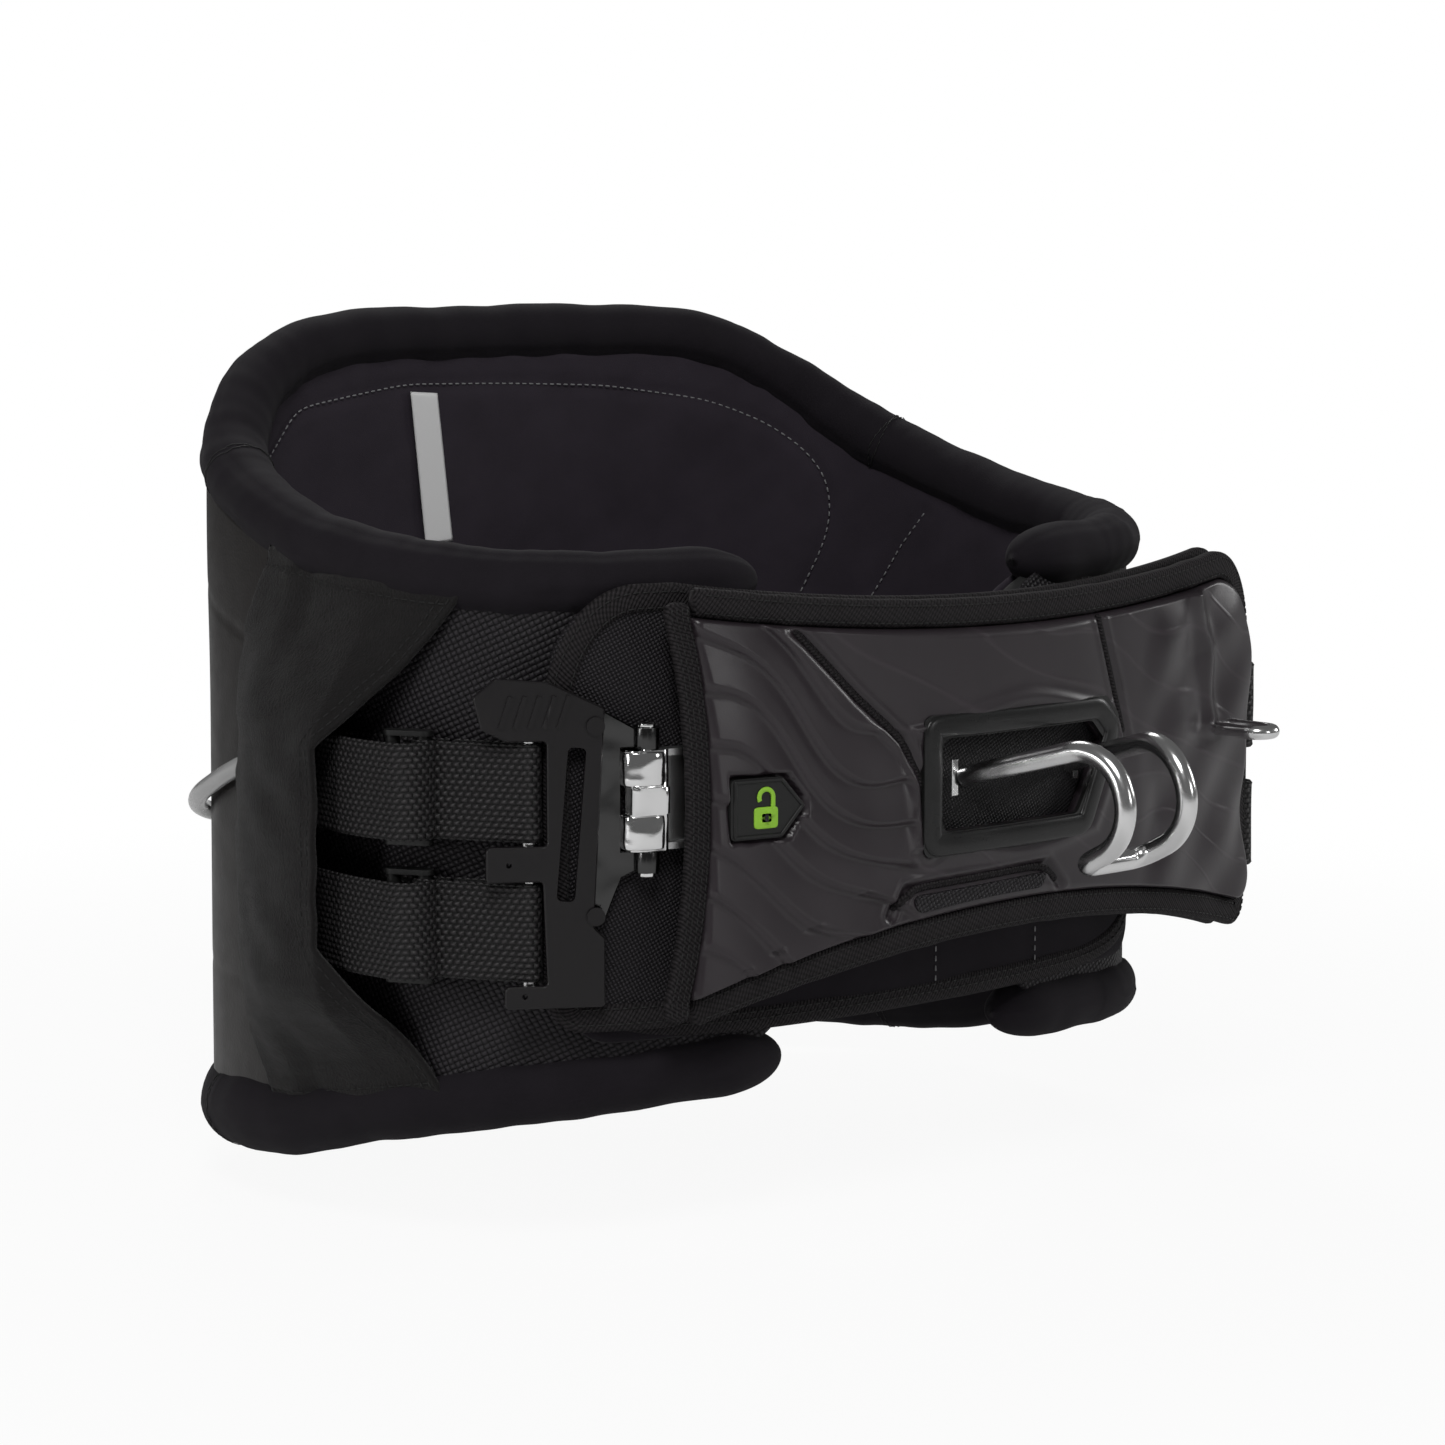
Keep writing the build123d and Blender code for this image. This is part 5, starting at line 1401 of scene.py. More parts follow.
def seam_side(arc, z):
    """How far a point lies to the left of the seam that runs down to the window."""
    seam = np.asarray(FACE_SEAMS[0], dtype=float)[::-1]
    return np.interp(z, seam[:, 1], seam[:, 0]) - arc


def face_swell(arc, z):
    """Height of the face over its curved frame.

    1.7 (1 - exp(-d/9)) - exp(-(d/1.8)^2) + 0.6 exp(-((d - 3.4)/1.3)^2) at a distance d from the nearest
    seam. Left of the first seam it steps at each whole value of the flow, as terraces; at the right
    end it has one long fold and a ripple.
    """
    seams = np.minimum(line_gap(arc, z, FACE_SEAMS[0]), line_gap(arc, z, FACE_SEAMS[1]))
    seams = np.minimum(seams, line_gap(arc, z, FACE_SEAMS[2]))
    flow = face_flow(arc, z)
    part = flow - np.floor(flow)
    terrace = TERRACE_DEEP * (smooth_step(part, 0.41, 0.59) - part)
    terrace = terrace * smooth_step(seam_side(arc, z), 3.0, 9.0)
    right = smooth_step(arc, 66.0, 84.0)
    fold = np.exp(-((line_gap(arc, z, FACE_FOLD) / FOLD_WIDE) ** 2))
    fold = FOLD_HIGH * fold + 2.0 * ripple(arc, 0.7 * z, 5, 40)
    raised = 1.7 * (1 - np.exp(-seams / 9.0)) - 1.0 * np.exp(-((seams / 1.8) ** 2))
    return raised + 0.6 * np.exp(-(((seams - 3.4) / 1.3) ** 2)) + terrace + right * fold


WINDOW_CENTRE = np.array([0.0, -44.0])
VENT_START, VENT_END = -58.0, 11.0
VENT_TOPS = (-84.5, -82.5)


class HARNESS_OT_face(bpy.types.Operator):
    """Moulded face of the pad: a ring of quads from the hook's window to the outline.

    Each point lies between the two loops, w + (o - w) r, at a depth that rises by a quarter round
    from both edges to the frame's surface and then by the padded swell; the button has a recess.
    Pipings lie along the seams, a rim round the window and a woven strip below it.
    """

    bl_idname = "harness.face"
    bl_label = "Pad face"
    SEAT_HALF, SEAT_SLOPE = (15.6, 11.6), 0.82
    RECESS_BELOW = 0.35
    PIPING = (1.25, 1.5)
    RIM, RIM_DEPTH = (4.3, 1.5, 2.6), -1.7

    def execute(self, context):
        self.skin(640, 84)
        for k, seam in enumerate(FACE_SEAMS):
            self.piping(f"face_piping_{k + 1}", curved(seam, 160))
        self.rim()
        self.vent(70, 16)
        return {"FINISHED"}

    def skin(self, count, rows):
        """The face: its front ring, and twelve rows behind it that close the body."""
        outer = face_loop(count)
        way = outer - WINDOW_CENTRE
        angle = np.arctan2(way[:, 1], way[:, 0])
        reach = loop_reach(resample(closed(window_loop()), 400), angle, WINDOW_CENTRE)
        inner = WINDOW_CENTRE + reach[:, None] * np.stack([np.cos(angle), np.sin(angle)], axis=-1)
        u = np.linspace(0, 1, rows)
        u = u - 0.06 * np.sin(2 * math.pi * u)
        flat = inner[:, None] + (outer - inner)[:, None] * u[None, :, None]
        arc, z = flat[..., 0], flat[..., 1]
        wide = np.linalg.norm(outer - inner, axis=-1)[:, None]
        edge_out, edge_in = wide * (1 - u)[None], wide * u[None]
        plump = rounded(edge_out, 4.5) * rounded(edge_in, 1.2)
        recess = smooth_step(self.button_seat(arc, z), -0.7, 0.3)
        depth = FACE_THICK * (1 - plump) - face_swell(arc, z) * plump * (1 - recess)
        depth = depth * (1 - recess) + (FACE_THICK - self.RECESS_BELOW) * recess
        depth = depth - 1.0 * np.exp(-(((edge_in - 12.0) / 3.0) ** 2)) * plump * (1 - recess)
        behind = np.linspace(rows - 1, 0, 14).round().astype(int)[1:-1]
        front = bar_points(arc, np.minimum(depth, FACE_THICK), z)
        back = bar_points(arc[:, behind], FACE_THICK, z[:, behind])
        flow = np.concatenate([face_flow(arc, z), face_flow(arc[:, behind], z[:, behind])], axis=1)
        solid = ring_grid(np.concatenate([front, back], axis=1))
        piece("face_skin", solid, "pad face", nodes=["pad_face"], fill=0.8, fields={"flow": flow})

    def button_seat(self, arc, z):
        """How far a point lies inside the button's outline, a rectangle with one end pointed."""
        px, pz = PATCH
        wide, high = self.SEAT_HALF
        pointed = (px + wide) - arc - self.SEAT_SLOPE * np.maximum(np.abs(z - pz) - 2, 0)
        return np.minimum(np.minimum(arc - (px - wide), pointed), high - np.abs(z - pz))

    def piping(self, name, line):
        """Cord of ribbed tape along a seam: a small oval section on the face's surface."""
        arc, z = line[:, 0], line[:, 1]
        top, out = bar_out(arc, -face_swell(arc, z) - 0.35, z)
        length, _ = along(top)
        rings = swept(top, out, cross_section(14, *self.PIPING), round_ends(length, 1.5))
        piece(name, (*tube_grid(rings), strip_uv(length, np.linspace(0, 6, 14), True)), "tape", fill=1.0)

    def rim(self):
        """Moulded rim round the window: its outline softened, with a flat rounded section."""
        loop = resample(closed(window_loop(4.6)), 361)[:-1]
        loop = np.stack([softened(np.tile(loop[:, k], 3), 3)[360:720] for k in (0, 1)], axis=-1)
        rings, _ = banded(loop, self.RIM_DEPTH, cross_section(20, *self.RIM))
        piece("window_rim", ring_grid(rings), "bezel", fill=0.9)

    def vent(self, columns, rows):
        """Woven strip between the lower seam and the face's lower edge, with rounded corners."""
        arc = spread(VENT_START, VENT_END, columns, rows)
        ends = (VENT_END - arc, arc - VENT_START)
        low = pad_low(arc, -3.5) + sum(corner_cut(end, 5.0) for end in ends)
        high = np.interp(arc, (VENT_START, VENT_END), VENT_TOPS)
        high = high - 0.5 * sum(corner_cut(end, 3.0) for end in ends)
        z = between(low, np.maximum(high, low + 0.5), rows)
        half = 0.5 * rounded(edge_gap(arc, VENT_START, VENT_END, z, low, high), 1.0)
        piece("vent_cloth", pad_slab(arc, z, -face_swell(arc, z) - 0.3, half), "vent cloth", fill=0.7)


def banded(loop, depth, section):
    """Rings of a band's section carried round a closed outline of the pad.

    The section's first axis points out of the outline, in its plane, and the second out of the pad.
    """
    ahead = unit(np.roll(loop, -1, axis=0) - np.roll(loop, 1, axis=0))
    out = np.stack([ahead[:, 1], -ahead[:, 0]], axis=-1)
    flat = loop[:, None] + out[:, None] * section[None, :, :1]
    return bar_points(flat[..., 0], depth - section[None, :, 1], flat[..., 1]), out


def loop_length(loop):
    """Length along a line of points."""
    return np.concatenate([[0], np.cumsum(np.linalg.norm(np.diff(loop, axis=0), axis=1))])


class HARNESS_OT_back(bpy.types.Operator):
    """Back of the pad with its long tail, and a ribbed tape folded round its whole edge.

    The panel is a slab over arc and height; the tape is a flat rounded section carried round the
    outline, which closes on itself.
    """

    bl_idname = "harness.back"
    bl_label = "Pad back"
    START, END = -PAD_HALF - TAIL_REACH + 1.5, PAD_HALF + 3.5
    MIDDLE, HALF_THICK = PAD_DEPTH - PANEL_THICK / 2, 1.9
    TAPE = (5.2, 2.75, 3.2)
    STITCH_PLACES = (-3.4, 2.2)
    CORNER_RADII = (13, 9, 26, 33)

    def execute(self, context):
        start, end, middle = self.START, self.END, self.MIDDLE
        arc = spread(start, end, 260, 90)
        top_cut = np.maximum(corner_cut(arc - start, 32.0), corner_cut(end - arc, 25.0))
        low_cut = np.maximum(corner_cut(arc - start, 12.0), corner_cut(end - arc, 8.0))
        low = pad_low(arc, BINDING - 1.5) + low_cut
        top = pad_top(arc, BINDING - 1.5) - top_cut
        z = between(low, top, 90)
        near = edge_gap(arc, start, end, z, low, top)
        half = self.HALF_THICK * rounded(near, 2.0)
        swell = wrinkle() * ripple(arc, z, 6, 60) * rounded(near, 8.0) * (arc < -PAD_HALF)
        panel = slab(bar_points(arc, middle - half - swell, z), bar_points(arc, middle + half, z))
        panel = (*panel, cloth_uv(arc, z))
        piece("pad_back_cloth", panel, "panel cloth", nodes=["pad_back_panel"], fill=0.7)

        loop = outline_loop(start - 1.2, end + 1.2, self.CORNER_RADII, 900, BINDING - 0.3, inset=4.6)
        section = cross_section(20, *self.TAPE)
        rings, out = banded(loop, middle, section)
        tape = (*ring_grid(rings), strip_uv(loop_length(loop), section[:, 0]))
        piece("edge_tape", tape, "tape", fill=0.6)
        lines = [loop + out * place for place in self.STITCH_PLACES]
        rows, ups = zip(*(bar_out(line[:, 0], middle - 2.78, line[:, 1]) for line in lines))
        stitches("edge_tape_stitches", rows, ups, "black thread", sink=0.2)
        return {"FINISHED"}


class HARNESS_OT_bindings(bpy.types.Operator):
    """Bound edge of the pad: flat folded bands along its outline and at the pocket's mouth, with stitches.

    Each band is a flat rounded section carried along a line of the outline, square to the pad.
    """

    bl_idname = "harness.bindings"
    bl_label = "Pad bindings"
    CORNER_RADII = (9, 11, 30, 9)
    EDGE_HALF, EDGE_DEPTH, EDGE_STITCHES = (3.4, 5.4), 4.2, (-3.4, 3.0)
    MOUTH_HALF, MOUTH_DEPTH, MOUTH_STITCHES = (2.6, 4.6), 1.4, (-3.0, -1.1, 1.1, 3.0)

    def execute(self, context):
        loop = outline_loop(-PAD_HALF - 6, PAD_HALF + 4.5, self.CORNER_RADII, 1400, BINDING, inset=5.6)
        middle = (TOP_END + LOW_END) / 2
        right, upper, lower = (
            int(np.argmin(np.hypot(loop[:, 0] - arc, loop[:, 1] - z)))
            for arc, z in ((PAD_HALF, middle), (2 - PAD_HALF, TOP_END + 5), (2 - PAD_HALF, LOW_END - 5))
        )
        for name, first, last, nodes in (
            ("upper_edge_band", right, upper, ["upper_edge_binding"]),
            ("lower_edge_band", lower, right, ["lower_edge_binding", "left_pocket_binding"]),
        ):
            line = np.roll(loop, -first, axis=0)[: (last - first) % len(loop) + 1]
            self.band(name, line, nodes, self.EDGE_HALF, self.EDGE_DEPTH, self.EDGE_STITCHES)
        z = np.linspace(LOW_END - 7.0, TOP_END + 5.5, 150)
        line = np.stack([mouth(np.clip(z, LOW_END, TOP_END)) - 3.6, z], axis=-1)
        shape = self.MOUTH_HALF, self.MOUTH_DEPTH, self.MOUTH_STITCHES
        self.band("mouth_band", line, ["right_pocket_binding"], *shape)
        return {"FINISHED"}

    def band(self, name, line, nodes, half_size, depth, places):
        """One band: its cloth, of half a thickness and half a width, and its rows of stitches."""
        line = resample(line, 420)
        path, out = bar_out(line[:, 0], depth, line[:, 1])
        section = cross_section(32, *half_size, 3.4)
        length, tangent = along(path)
        puffs = 1 + 0.03 * ripple(length, 0 * length, 5, 17)
        rings = swept(path, out, section, round_ends(length, 3.0) * puffs)
        band = (*tube_grid(rings), strip_uv(length, section[:, 1], True))
        piece(name, band, "tape", nodes=nodes, fill=0.8)
        across = np.cross(tangent, out)
        rows = [(path + out * (half_size[0] * 0.97) + across * place)[5:-5] for place in places]
        stitches(name + "_stitches", rows, [out[5:-5]] * len(rows), "black thread", 3.0, 0.7, 0.3)


class HARNESS_OT_foams(bpy.types.Operator):
    """Foam blocks of the pad above and below the tunnel of the bar.

    Each is a slab of half thickness 3.9 q about a depth of 7.3, where q is the quarter round to its edge.
    """

    bl_idname = "harness.foams"
    bl_label = "Pad foam"
    HALF, DEPTH, THICK = 146.0, 7.3, 3.9
    TUNNEL = (-22.0, -60.0)

    def execute(self, context):
        arc = spread(-self.HALF, self.HALF, 140, 24)
        ends = self.HALF + 2 - np.abs(arc)
        for name, low, top in (
            ("pad_upper_foam", self.TUNNEL[0] + 0 * arc, pad_top(arc, -1.0) - corner_cut(ends, 22.0)),
            ("pad_lower_foam", pad_low(arc, -1.0) + corner_cut(ends, 9.0), self.TUNNEL[1] + 0 * arc),
        ):
            z = between(low, top, 24)
            half = self.THICK * rounded(edge_gap(arc, -self.HALF, self.HALF, z, low, top), 3.0)
            foam = pad_slab(arc, z, self.DEPTH, half)[:2]
            piece(name + "_block", foam, "belt foam", nodes=[name], fill=1.0)
        return {"FINISHED"}


# ---------------------------------------------------------------- button, window and label
def bar_solid(loops, depths):
    """Closed body from outlines stacked by depth: each outline is a loop of arc and height."""
    grid = np.stack([bar_points(loop[:, 0], depth, loop[:, 1]) for loop, depth in zip(loops, depths)])
    return tube_grid(grid)


class HARNESS_OT_button(bpy.types.Operator):
    """Raised rim and open padlock on the unlocking button, which move with it.

    The rim is an oval section carried round a pointed outline. The padlock's body and keyhole are
    stacked outlines |x/a|^p + |y/b|^p = 1, and its bow an arc of 205 degrees with one straight leg.
    """

    bl_idname = "harness.button"
    bl_label = "Unlocking button"
    OUTLINE = ((-14, 10), (-14, -10), (5.2, -10), (14.2, 0), (5.2, 10), (-14, 10))
    LOCK = (PATCH[0] - 1.5, PATCH[1] - 3.4)
    BODY, BODY_SHARES = (4.9, 3.9, 7.0), (1.0, 1.0, 0.95, 0.88, 0.4)
    BODY_DEPTHS = (-1.3, -2.1, -2.35, -2.4, -2.4)
    BOW_TURN, BOW_RADIUS = 205, 2.9
    KEYHOLE = (0.85, 1.5, 2.2)
    RIM, BOW = (0.75, 0.65, 2.2), (0.5, 0.9, 2.6)

    def execute(self, context):
        loop = resample(np.array(self.OUTLINE, dtype=float), 241)[:-1] + PATCH
        rim, out = bar_out(loop[:, 0], -1.6, loop[:, 1])
        section = cross_section(10, *self.RIM)
        ahead = unit(np.roll(rim, -1, axis=0) - np.roll(rim, 1, axis=0))
        side = np.cross(ahead, out)
        grid = rim[:, None] + side[:, None] * section[None, :, :1] + out[:, None] * section[None, :, 1:]
        piece("button_rim", ring_grid(grid), "button rubber", "button")

        body = cross_section(120, *self.BODY)
        loops = [body * share + self.LOCK for share in self.BODY_SHARES]
        piece("padlock_body", bar_solid(loops, self.BODY_DEPTHS), "symbol", "button")
        t = np.radians(np.linspace(0, self.BOW_TURN, 60))
        arc = self.BOW_RADIUS * np.stack([np.cos(t), np.sin(t)], axis=-1)
        bow = (self.LOCK[0], PATCH[1] + 4.0) + arc
        leg = np.stack([np.full(12, bow[0, 0]), np.linspace(PATCH[1] - 0.5, bow[0, 1], 12)], axis=-1)
        line = np.concatenate([leg[:-1], bow])
        path, out = bar_out(line[:, 0], -1.95, line[:, 1])
        rings = swept(path, out, cross_section(12, *self.BOW))
        piece("padlock_bow", tube_grid(rings), "symbol", "button")
        hole = cross_section(24, *self.KEYHOLE) + self.LOCK
        piece("padlock_keyhole", bar_solid((hole, hole), (-2.2, -2.5)), "button rubber", "button")
        return {"FINISHED"}


class HARNESS_OT_window(bpy.types.Operator):
    """Woven sheet behind the window, in the face's frame, which the hook's feet stand on.

    A slab of half thickness 0.45 q about a depth of 4.1, where q is the quarter round to its edge.
    """

    bl_idname = "harness.window"
    bl_label = "Window cloth"
    HALF, LOW, TOP, DEPTH = 50.0, -65.5, -23.5, 4.1
    HALF_THICK = 0.45

    def execute(self, context):
        arc = spread(-self.HALF, self.HALF, 90, 40)
        z = between(self.LOW + 0 * arc, self.TOP, 40)
        near = edge_gap(arc, -self.HALF, self.HALF, z, self.LOW, self.TOP)
        half = self.HALF_THICK * rounded(near, 0.8)
        piece("window_cloth", pad_slab(arc, z, self.DEPTH, half), "window weave")
        return {"FINISHED"}


class HARNESS_OT_label(bpy.types.Operator):
    """Bare sewn strip on the liner: a thin slab between four corners, with nothing on it.

    Each point is low(s) + (top(s) - low(s)) v, in length round the belt and height.
    """

    bl_idname = "harness.label"
    bl_label = "Bare strip"
    CORNERS = ((-54, 117, 94), (-39, 118, 93), (-46, 117, 30), (-31, 119, 31))
    WIDE, HIGH, HALF_THICK = 15.0, 63.0, 0.3
    OFFSET = -9.35

    def execute(self, context):
        corners = ring_at(self.CORNERS)
        s = np.linspace(0, 1, 14)[:, None]
        v = np.linspace(0, 1, 50)[None]
        top = corners[0] + (corners[1] - corners[0]) * s[..., None]
        low = corners[2] + (corners[3] - corners[2]) * s[..., None]
        flat = low + (top - low) * v[..., None]
        edge = np.minimum(np.minimum(s, 1 - s) * self.WIDE, np.minimum(v, 1 - v) * self.HIGH)
        half = self.HALF_THICK * rounded(edge, 0.5)
        faces = [ring_points(flat[..., 0], self.OFFSET + side * half, flat[..., 1]) for side in (-1, 1)]
        piece("bare_strip", slab(*faces), "label")
        return {"FINISHED"}


# ---------------------------------------------------------------- straps
PIN_GAP = 0.3
STRAP_THICK = 1.8
LIP_START, LIP_SWELL, LIP_CLOSE = 0.90, 0.22, 0.9


def two_rod_path(rear, front, radius, bulge=0.0, side=1.0):
    """Plan line of a strap from its hidden inner run, round the front rod, back over the outside.

    The outer run leaves the straight line by bulge * sin(pi t) on the side that faces out.
    """
    rear = np.asarray(rear, float)
    front = np.asarray(front, float)
    run = np.linalg.norm(front - rear)
    d = (front - rear) / run
    n = side * np.array([d[1], -d[0]])
    half = math.pi / 2
    inner = rear + d * np.linspace(run * 0.25, run, 30)[:, None] - n * radius
    turn = np.linspace(-half, half, 24)[1:-1, None]
    fat = radius + bulge / 2
    nose = front + n * bulge / 2 + d * (radius + bulge / 4) * np.cos(turn) + n * fat * np.sin(turn)
    t = np.linspace(1, 0, 60)[:, None]
    outer = rear + d * run * t + n * (radius + bulge * smooth_step(t, -0.1, 0.75))
    turn = np.linspace(half, 3 * half, 24)[1:-1, None]
    tail = rear + d * radius * np.cos(turn) + n * radius * np.sin(turn)
    last = rear + d * np.linspace(0, run * 0.22, 10)[:, None] - n * radius
    return np.concatenate([inner, nose, outer, tail, last])


def strap(plan, z, width, seed, crimp):
    """Flat woven strap: a rounded section, width by 1.8 mm, carried along a plan line at one height.

    Its two faces lie at crimp * ripple +- 0.9 lip(a) from the line, where the lip thickens the two
    edges and closes them.
    """
    plan = resample(plan, 260)
    plan = np.stack([softened(plan[:, 0], 1.6), softened(plan[:, 1], 1.6)], axis=-1)
    length = loop_length(plan)
    a = np.linspace(-1, 1, 36)
    lip = 1 + LIP_SWELL * (np.abs(a) > LIP_START) - LIP_CLOSE * smooth_step(np.abs(a), 0.975, 1.0)
    ahead = unit(np.gradient(plan, axis=0))
    out = np.stack([ahead[:, 1], -ahead[:, 0]], axis=-1)
    wave = crimp * ripple(length[:, None], a[None] * width / 2, seed, 40)
    up = z + a[None] * width / 2 + 0 * length[:, None]
    rows = []
    for face in (1, -1):
        off = wave + face * STRAP_THICK / 2 * lip[None]
        rows.append(np.stack([plan[:, :1] + out[:, :1] * off, plan[:, 1:] + out[:, 1:] * off, up], axis=-1))
    grid = np.concatenate([rows[0], rows[1][:, ::-1]], axis=1)
    across = np.concatenate([a, a[::-1]]) * width / 2
    return *tube_grid(grid), strip_uv(length, across, True)


PIN_RADIUS = 2.5
RIGHT_PIN = (-160.1, -105.8)
LEFT_PIN = (199.3, -120.1)
ADJUSTERS = {"right": (-181.5, -72.5), "left": (196.5, -72.5)}
ANCHOR_Y = -14.0
STRAP_Z = {"right": {"upper": -38.0, "lower": -88.0}, "left": {"upper": -34.0, "lower": -83.0}}


class HARNESS_OT_straps(bpy.types.Operator):
    """Webbing from the buckle and the far frame through the adjusters, and the short straps that hold them.

    Each strap runs from its hidden start, round one rod and back over the outside to the other rod, as
    two_rod_path says.
    """

    bl_idname = "harness.straps"
    bl_label = "Straps"
    NOSE_BULGE = 0.6
    WEBBING_CRIMP, SHORT_CRIMP = 0.2, 0.35

    def execute(self, context):
        bulge = context.scene.harness_sizes.bulge / MM
        reach = PIN_RADIUS + PIN_GAP + STRAP_THICK / 2
        wide_reach = reach + STRAP_THICK + 0.25
        for side, sign, pin in (("right", -1, RIGHT_PIN), ("left", 1, LEFT_PIN)):
            pin = np.array(pin)
            front = np.array(ADJUSTERS[side])
            step = unit(front - pin)
            seat = np.array([sign * (HALF_WIDTH + WING_OUTER + 0.3 + PIN_RADIUS + 2.1), ANCHOR_Y])
            webbing = two_rod_path(front, pin, reach, self.NOSE_BULGE, -sign)
            short = two_rod_path(seat, front + step, wide_reach, bulge, -sign)
            for k, (level, z) in enumerate(STRAP_Z[side].items()):
                name = f"{side}_{level}"
                crimp = self.WEBBING_CRIMP
                self.strap(name, "_webbing_strap", "_webbing", webbing, z, 3 + k, crimp, "stretched")
                crimp = self.SHORT_CRIMP
                self.strap(name, "_short_strap", "_anchor_strap", short, z, 7 + k, crimp, "folded")
        return {"FINISHED"}

    def strap(self, name, made, node, plan, z, seed, crimp, held):
        """One strap; its flat length is worked out but not used."""
        width = bpy.context.scene.harness_sizes.strap / MM
        cloth = piece(name + made, strap(plan, z, width, seed, crimp), "webbing", nodes=[name + node])
        length = float(loop_length(resample(plan, 200))[-1])


# ---------------------------------------------------------------- metal and plastic
DRESS = {
    "bright steel": ("hook", "leash_ring", "upper_cross_pin", "lower_cross_pin"),
    "chrome": ("clasp", "hinge_pin"),
    "bracket steel": ("buckle_bracket",),
    "stainless": ("spreader_bar", "left_rod_pivot", "right_rod_pivot"),
    "black steel": ("buckle_plate", "left_end_frame", "bracket_rivets", "end_frame_rivets"),
    "black plastic": (
        "left_upper_adjuster", "left_lower_adjuster", "right_upper_adjuster", "right_lower_adjuster",
        "lumbar_plate",
    ),
    "button rubber": ("unlock_button",),
    "bezel": ("window_bezel",),
    "rod gloss": ("handle_pass_rod",),
}


BEVELS = {"clasp": 1.4, "buckle_bracket": 0.8, "buckle_plate": 0.7, "hinge_pin": 0.5}


class HARNESS_OT_hardware(bpy.types.Operator):
    """Gives every metal and plastic part of the frame its finish, and some of them softened edges.

    Edges sharper than 40 degrees are bevelled to an arc of three segments.
    """

    bl_idname = "harness.hardware"
    bl_label = "Metal and plastic"

    def execute(self, context):
        for name, nodes in DRESS.items():
            for node in nodes:
                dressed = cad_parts[node]
                if not dressed.material_slots:
                    dressed.data.materials.append(finish(name))
                for entry in dressed.material_slots:
                    entry.material = finish(name)
        for node, width in BEVELS.items():
            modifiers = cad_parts[node].modifiers
            weld = modifiers.new("closed edges", "WELD")
            weld.merge_threshold = 0.01 * MM
            bevel = modifiers.new("soft edges", "BEVEL")
            bevel.width = width * MM
            bevel.segments = 3
            bevel.limit_method = "ANGLE"
            bevel.angle_limit = math.radians(40)
            bevel.harden_normals = True
        return {"FINISHED"}


class HARNESS_OT_clasp(bpy.types.Operator):
    """Pressed steel shells over the clasp, above and below its middle band.

    Each is a section |x/8.2|^2.8 + |y/6.2|^2.8 = 1, flat on the pad's side, carried up the hinge's line.
    Its scale at a distance d from an end is rounded(d, 0.8) (0.90 + 0.10 rounded(d, 4)).
    """

    bl_idname = "harness.clasp"
    bl_label = "Clasp shells"
    ARC, DEPTH, FLAT = -168.0, 7.6, -4.1
    SECTION = (8.2, 6.2, 2.8)
    SHELLS = (("clasp_upper_shell", -36.25, -23.0), ("clasp_lower_shell", -59.0, -45.75))

    def execute(self, context):
        ahead = unit(bar_points(self.ARC + 1, self.DEPTH, 0) - bar_points(self.ARC - 1, self.DEPTH, 0))
        _, out = bar_out(self.ARC, self.DEPTH, 0)
        section = cross_section(64, *self.SECTION)
        section[:, 1] = np.maximum(section[:, 1], self.FLAT)
        for name, low, high in self.SHELLS:
            z = (low + high) / 2 - (high - low) / 2 * np.cos(np.linspace(0, math.pi, 41))
            near = np.minimum(z - low, high - z)
            scale = np.maximum(rounded(near, 0.8), 0.02) * (0.90 + 0.10 * rounded(near, 4.0))
            flat = section[None] * scale[:, None, None]
            centre = bar_points(self.ARC, self.DEPTH, z)
            piece(name, tube_grid(centre[:, None] + flat[..., :1] * ahead + flat[..., 1:] * out), "chrome")
        return {"FINISHED"}


# ---------------------------------------------------------------- stage
EYE_DISTANCE, EYE_TURN, EYE_LIFT = 1.5, math.radians(40), math.radians(6)
SENSOR_MM, LENS_MM = 36.0, 93.0519031
LENS_SHIFT = (0.0269204152, -0.0631833910)
LAMP_AIM = (0, -0.05, -0.05)
LAMPS = (
    ("key_lamp", (-1.1, -1.2, 1.7), 0.9, 20.0),
    ("front_lamp", (0.7, -2.2, 0.5), 0.5, 3.0),
    ("rear_lamp", (0.9, 1.5, 1.7), 1.0, 14.0),
    ("right_lamp", (2.1, -0.7, 0.5), 0.6, 6.0),
    ("left_lamp", (-2.2, 0.2, 0.3), 0.5, 6.5),
)
WORLD_GLOW = 0.10
FLOOR_HALF, FLOOR_GAP, FLOOR_TONE = 9.0, 0.0005, 0.93
FLOOR_FADE = (250.0, 900.0)


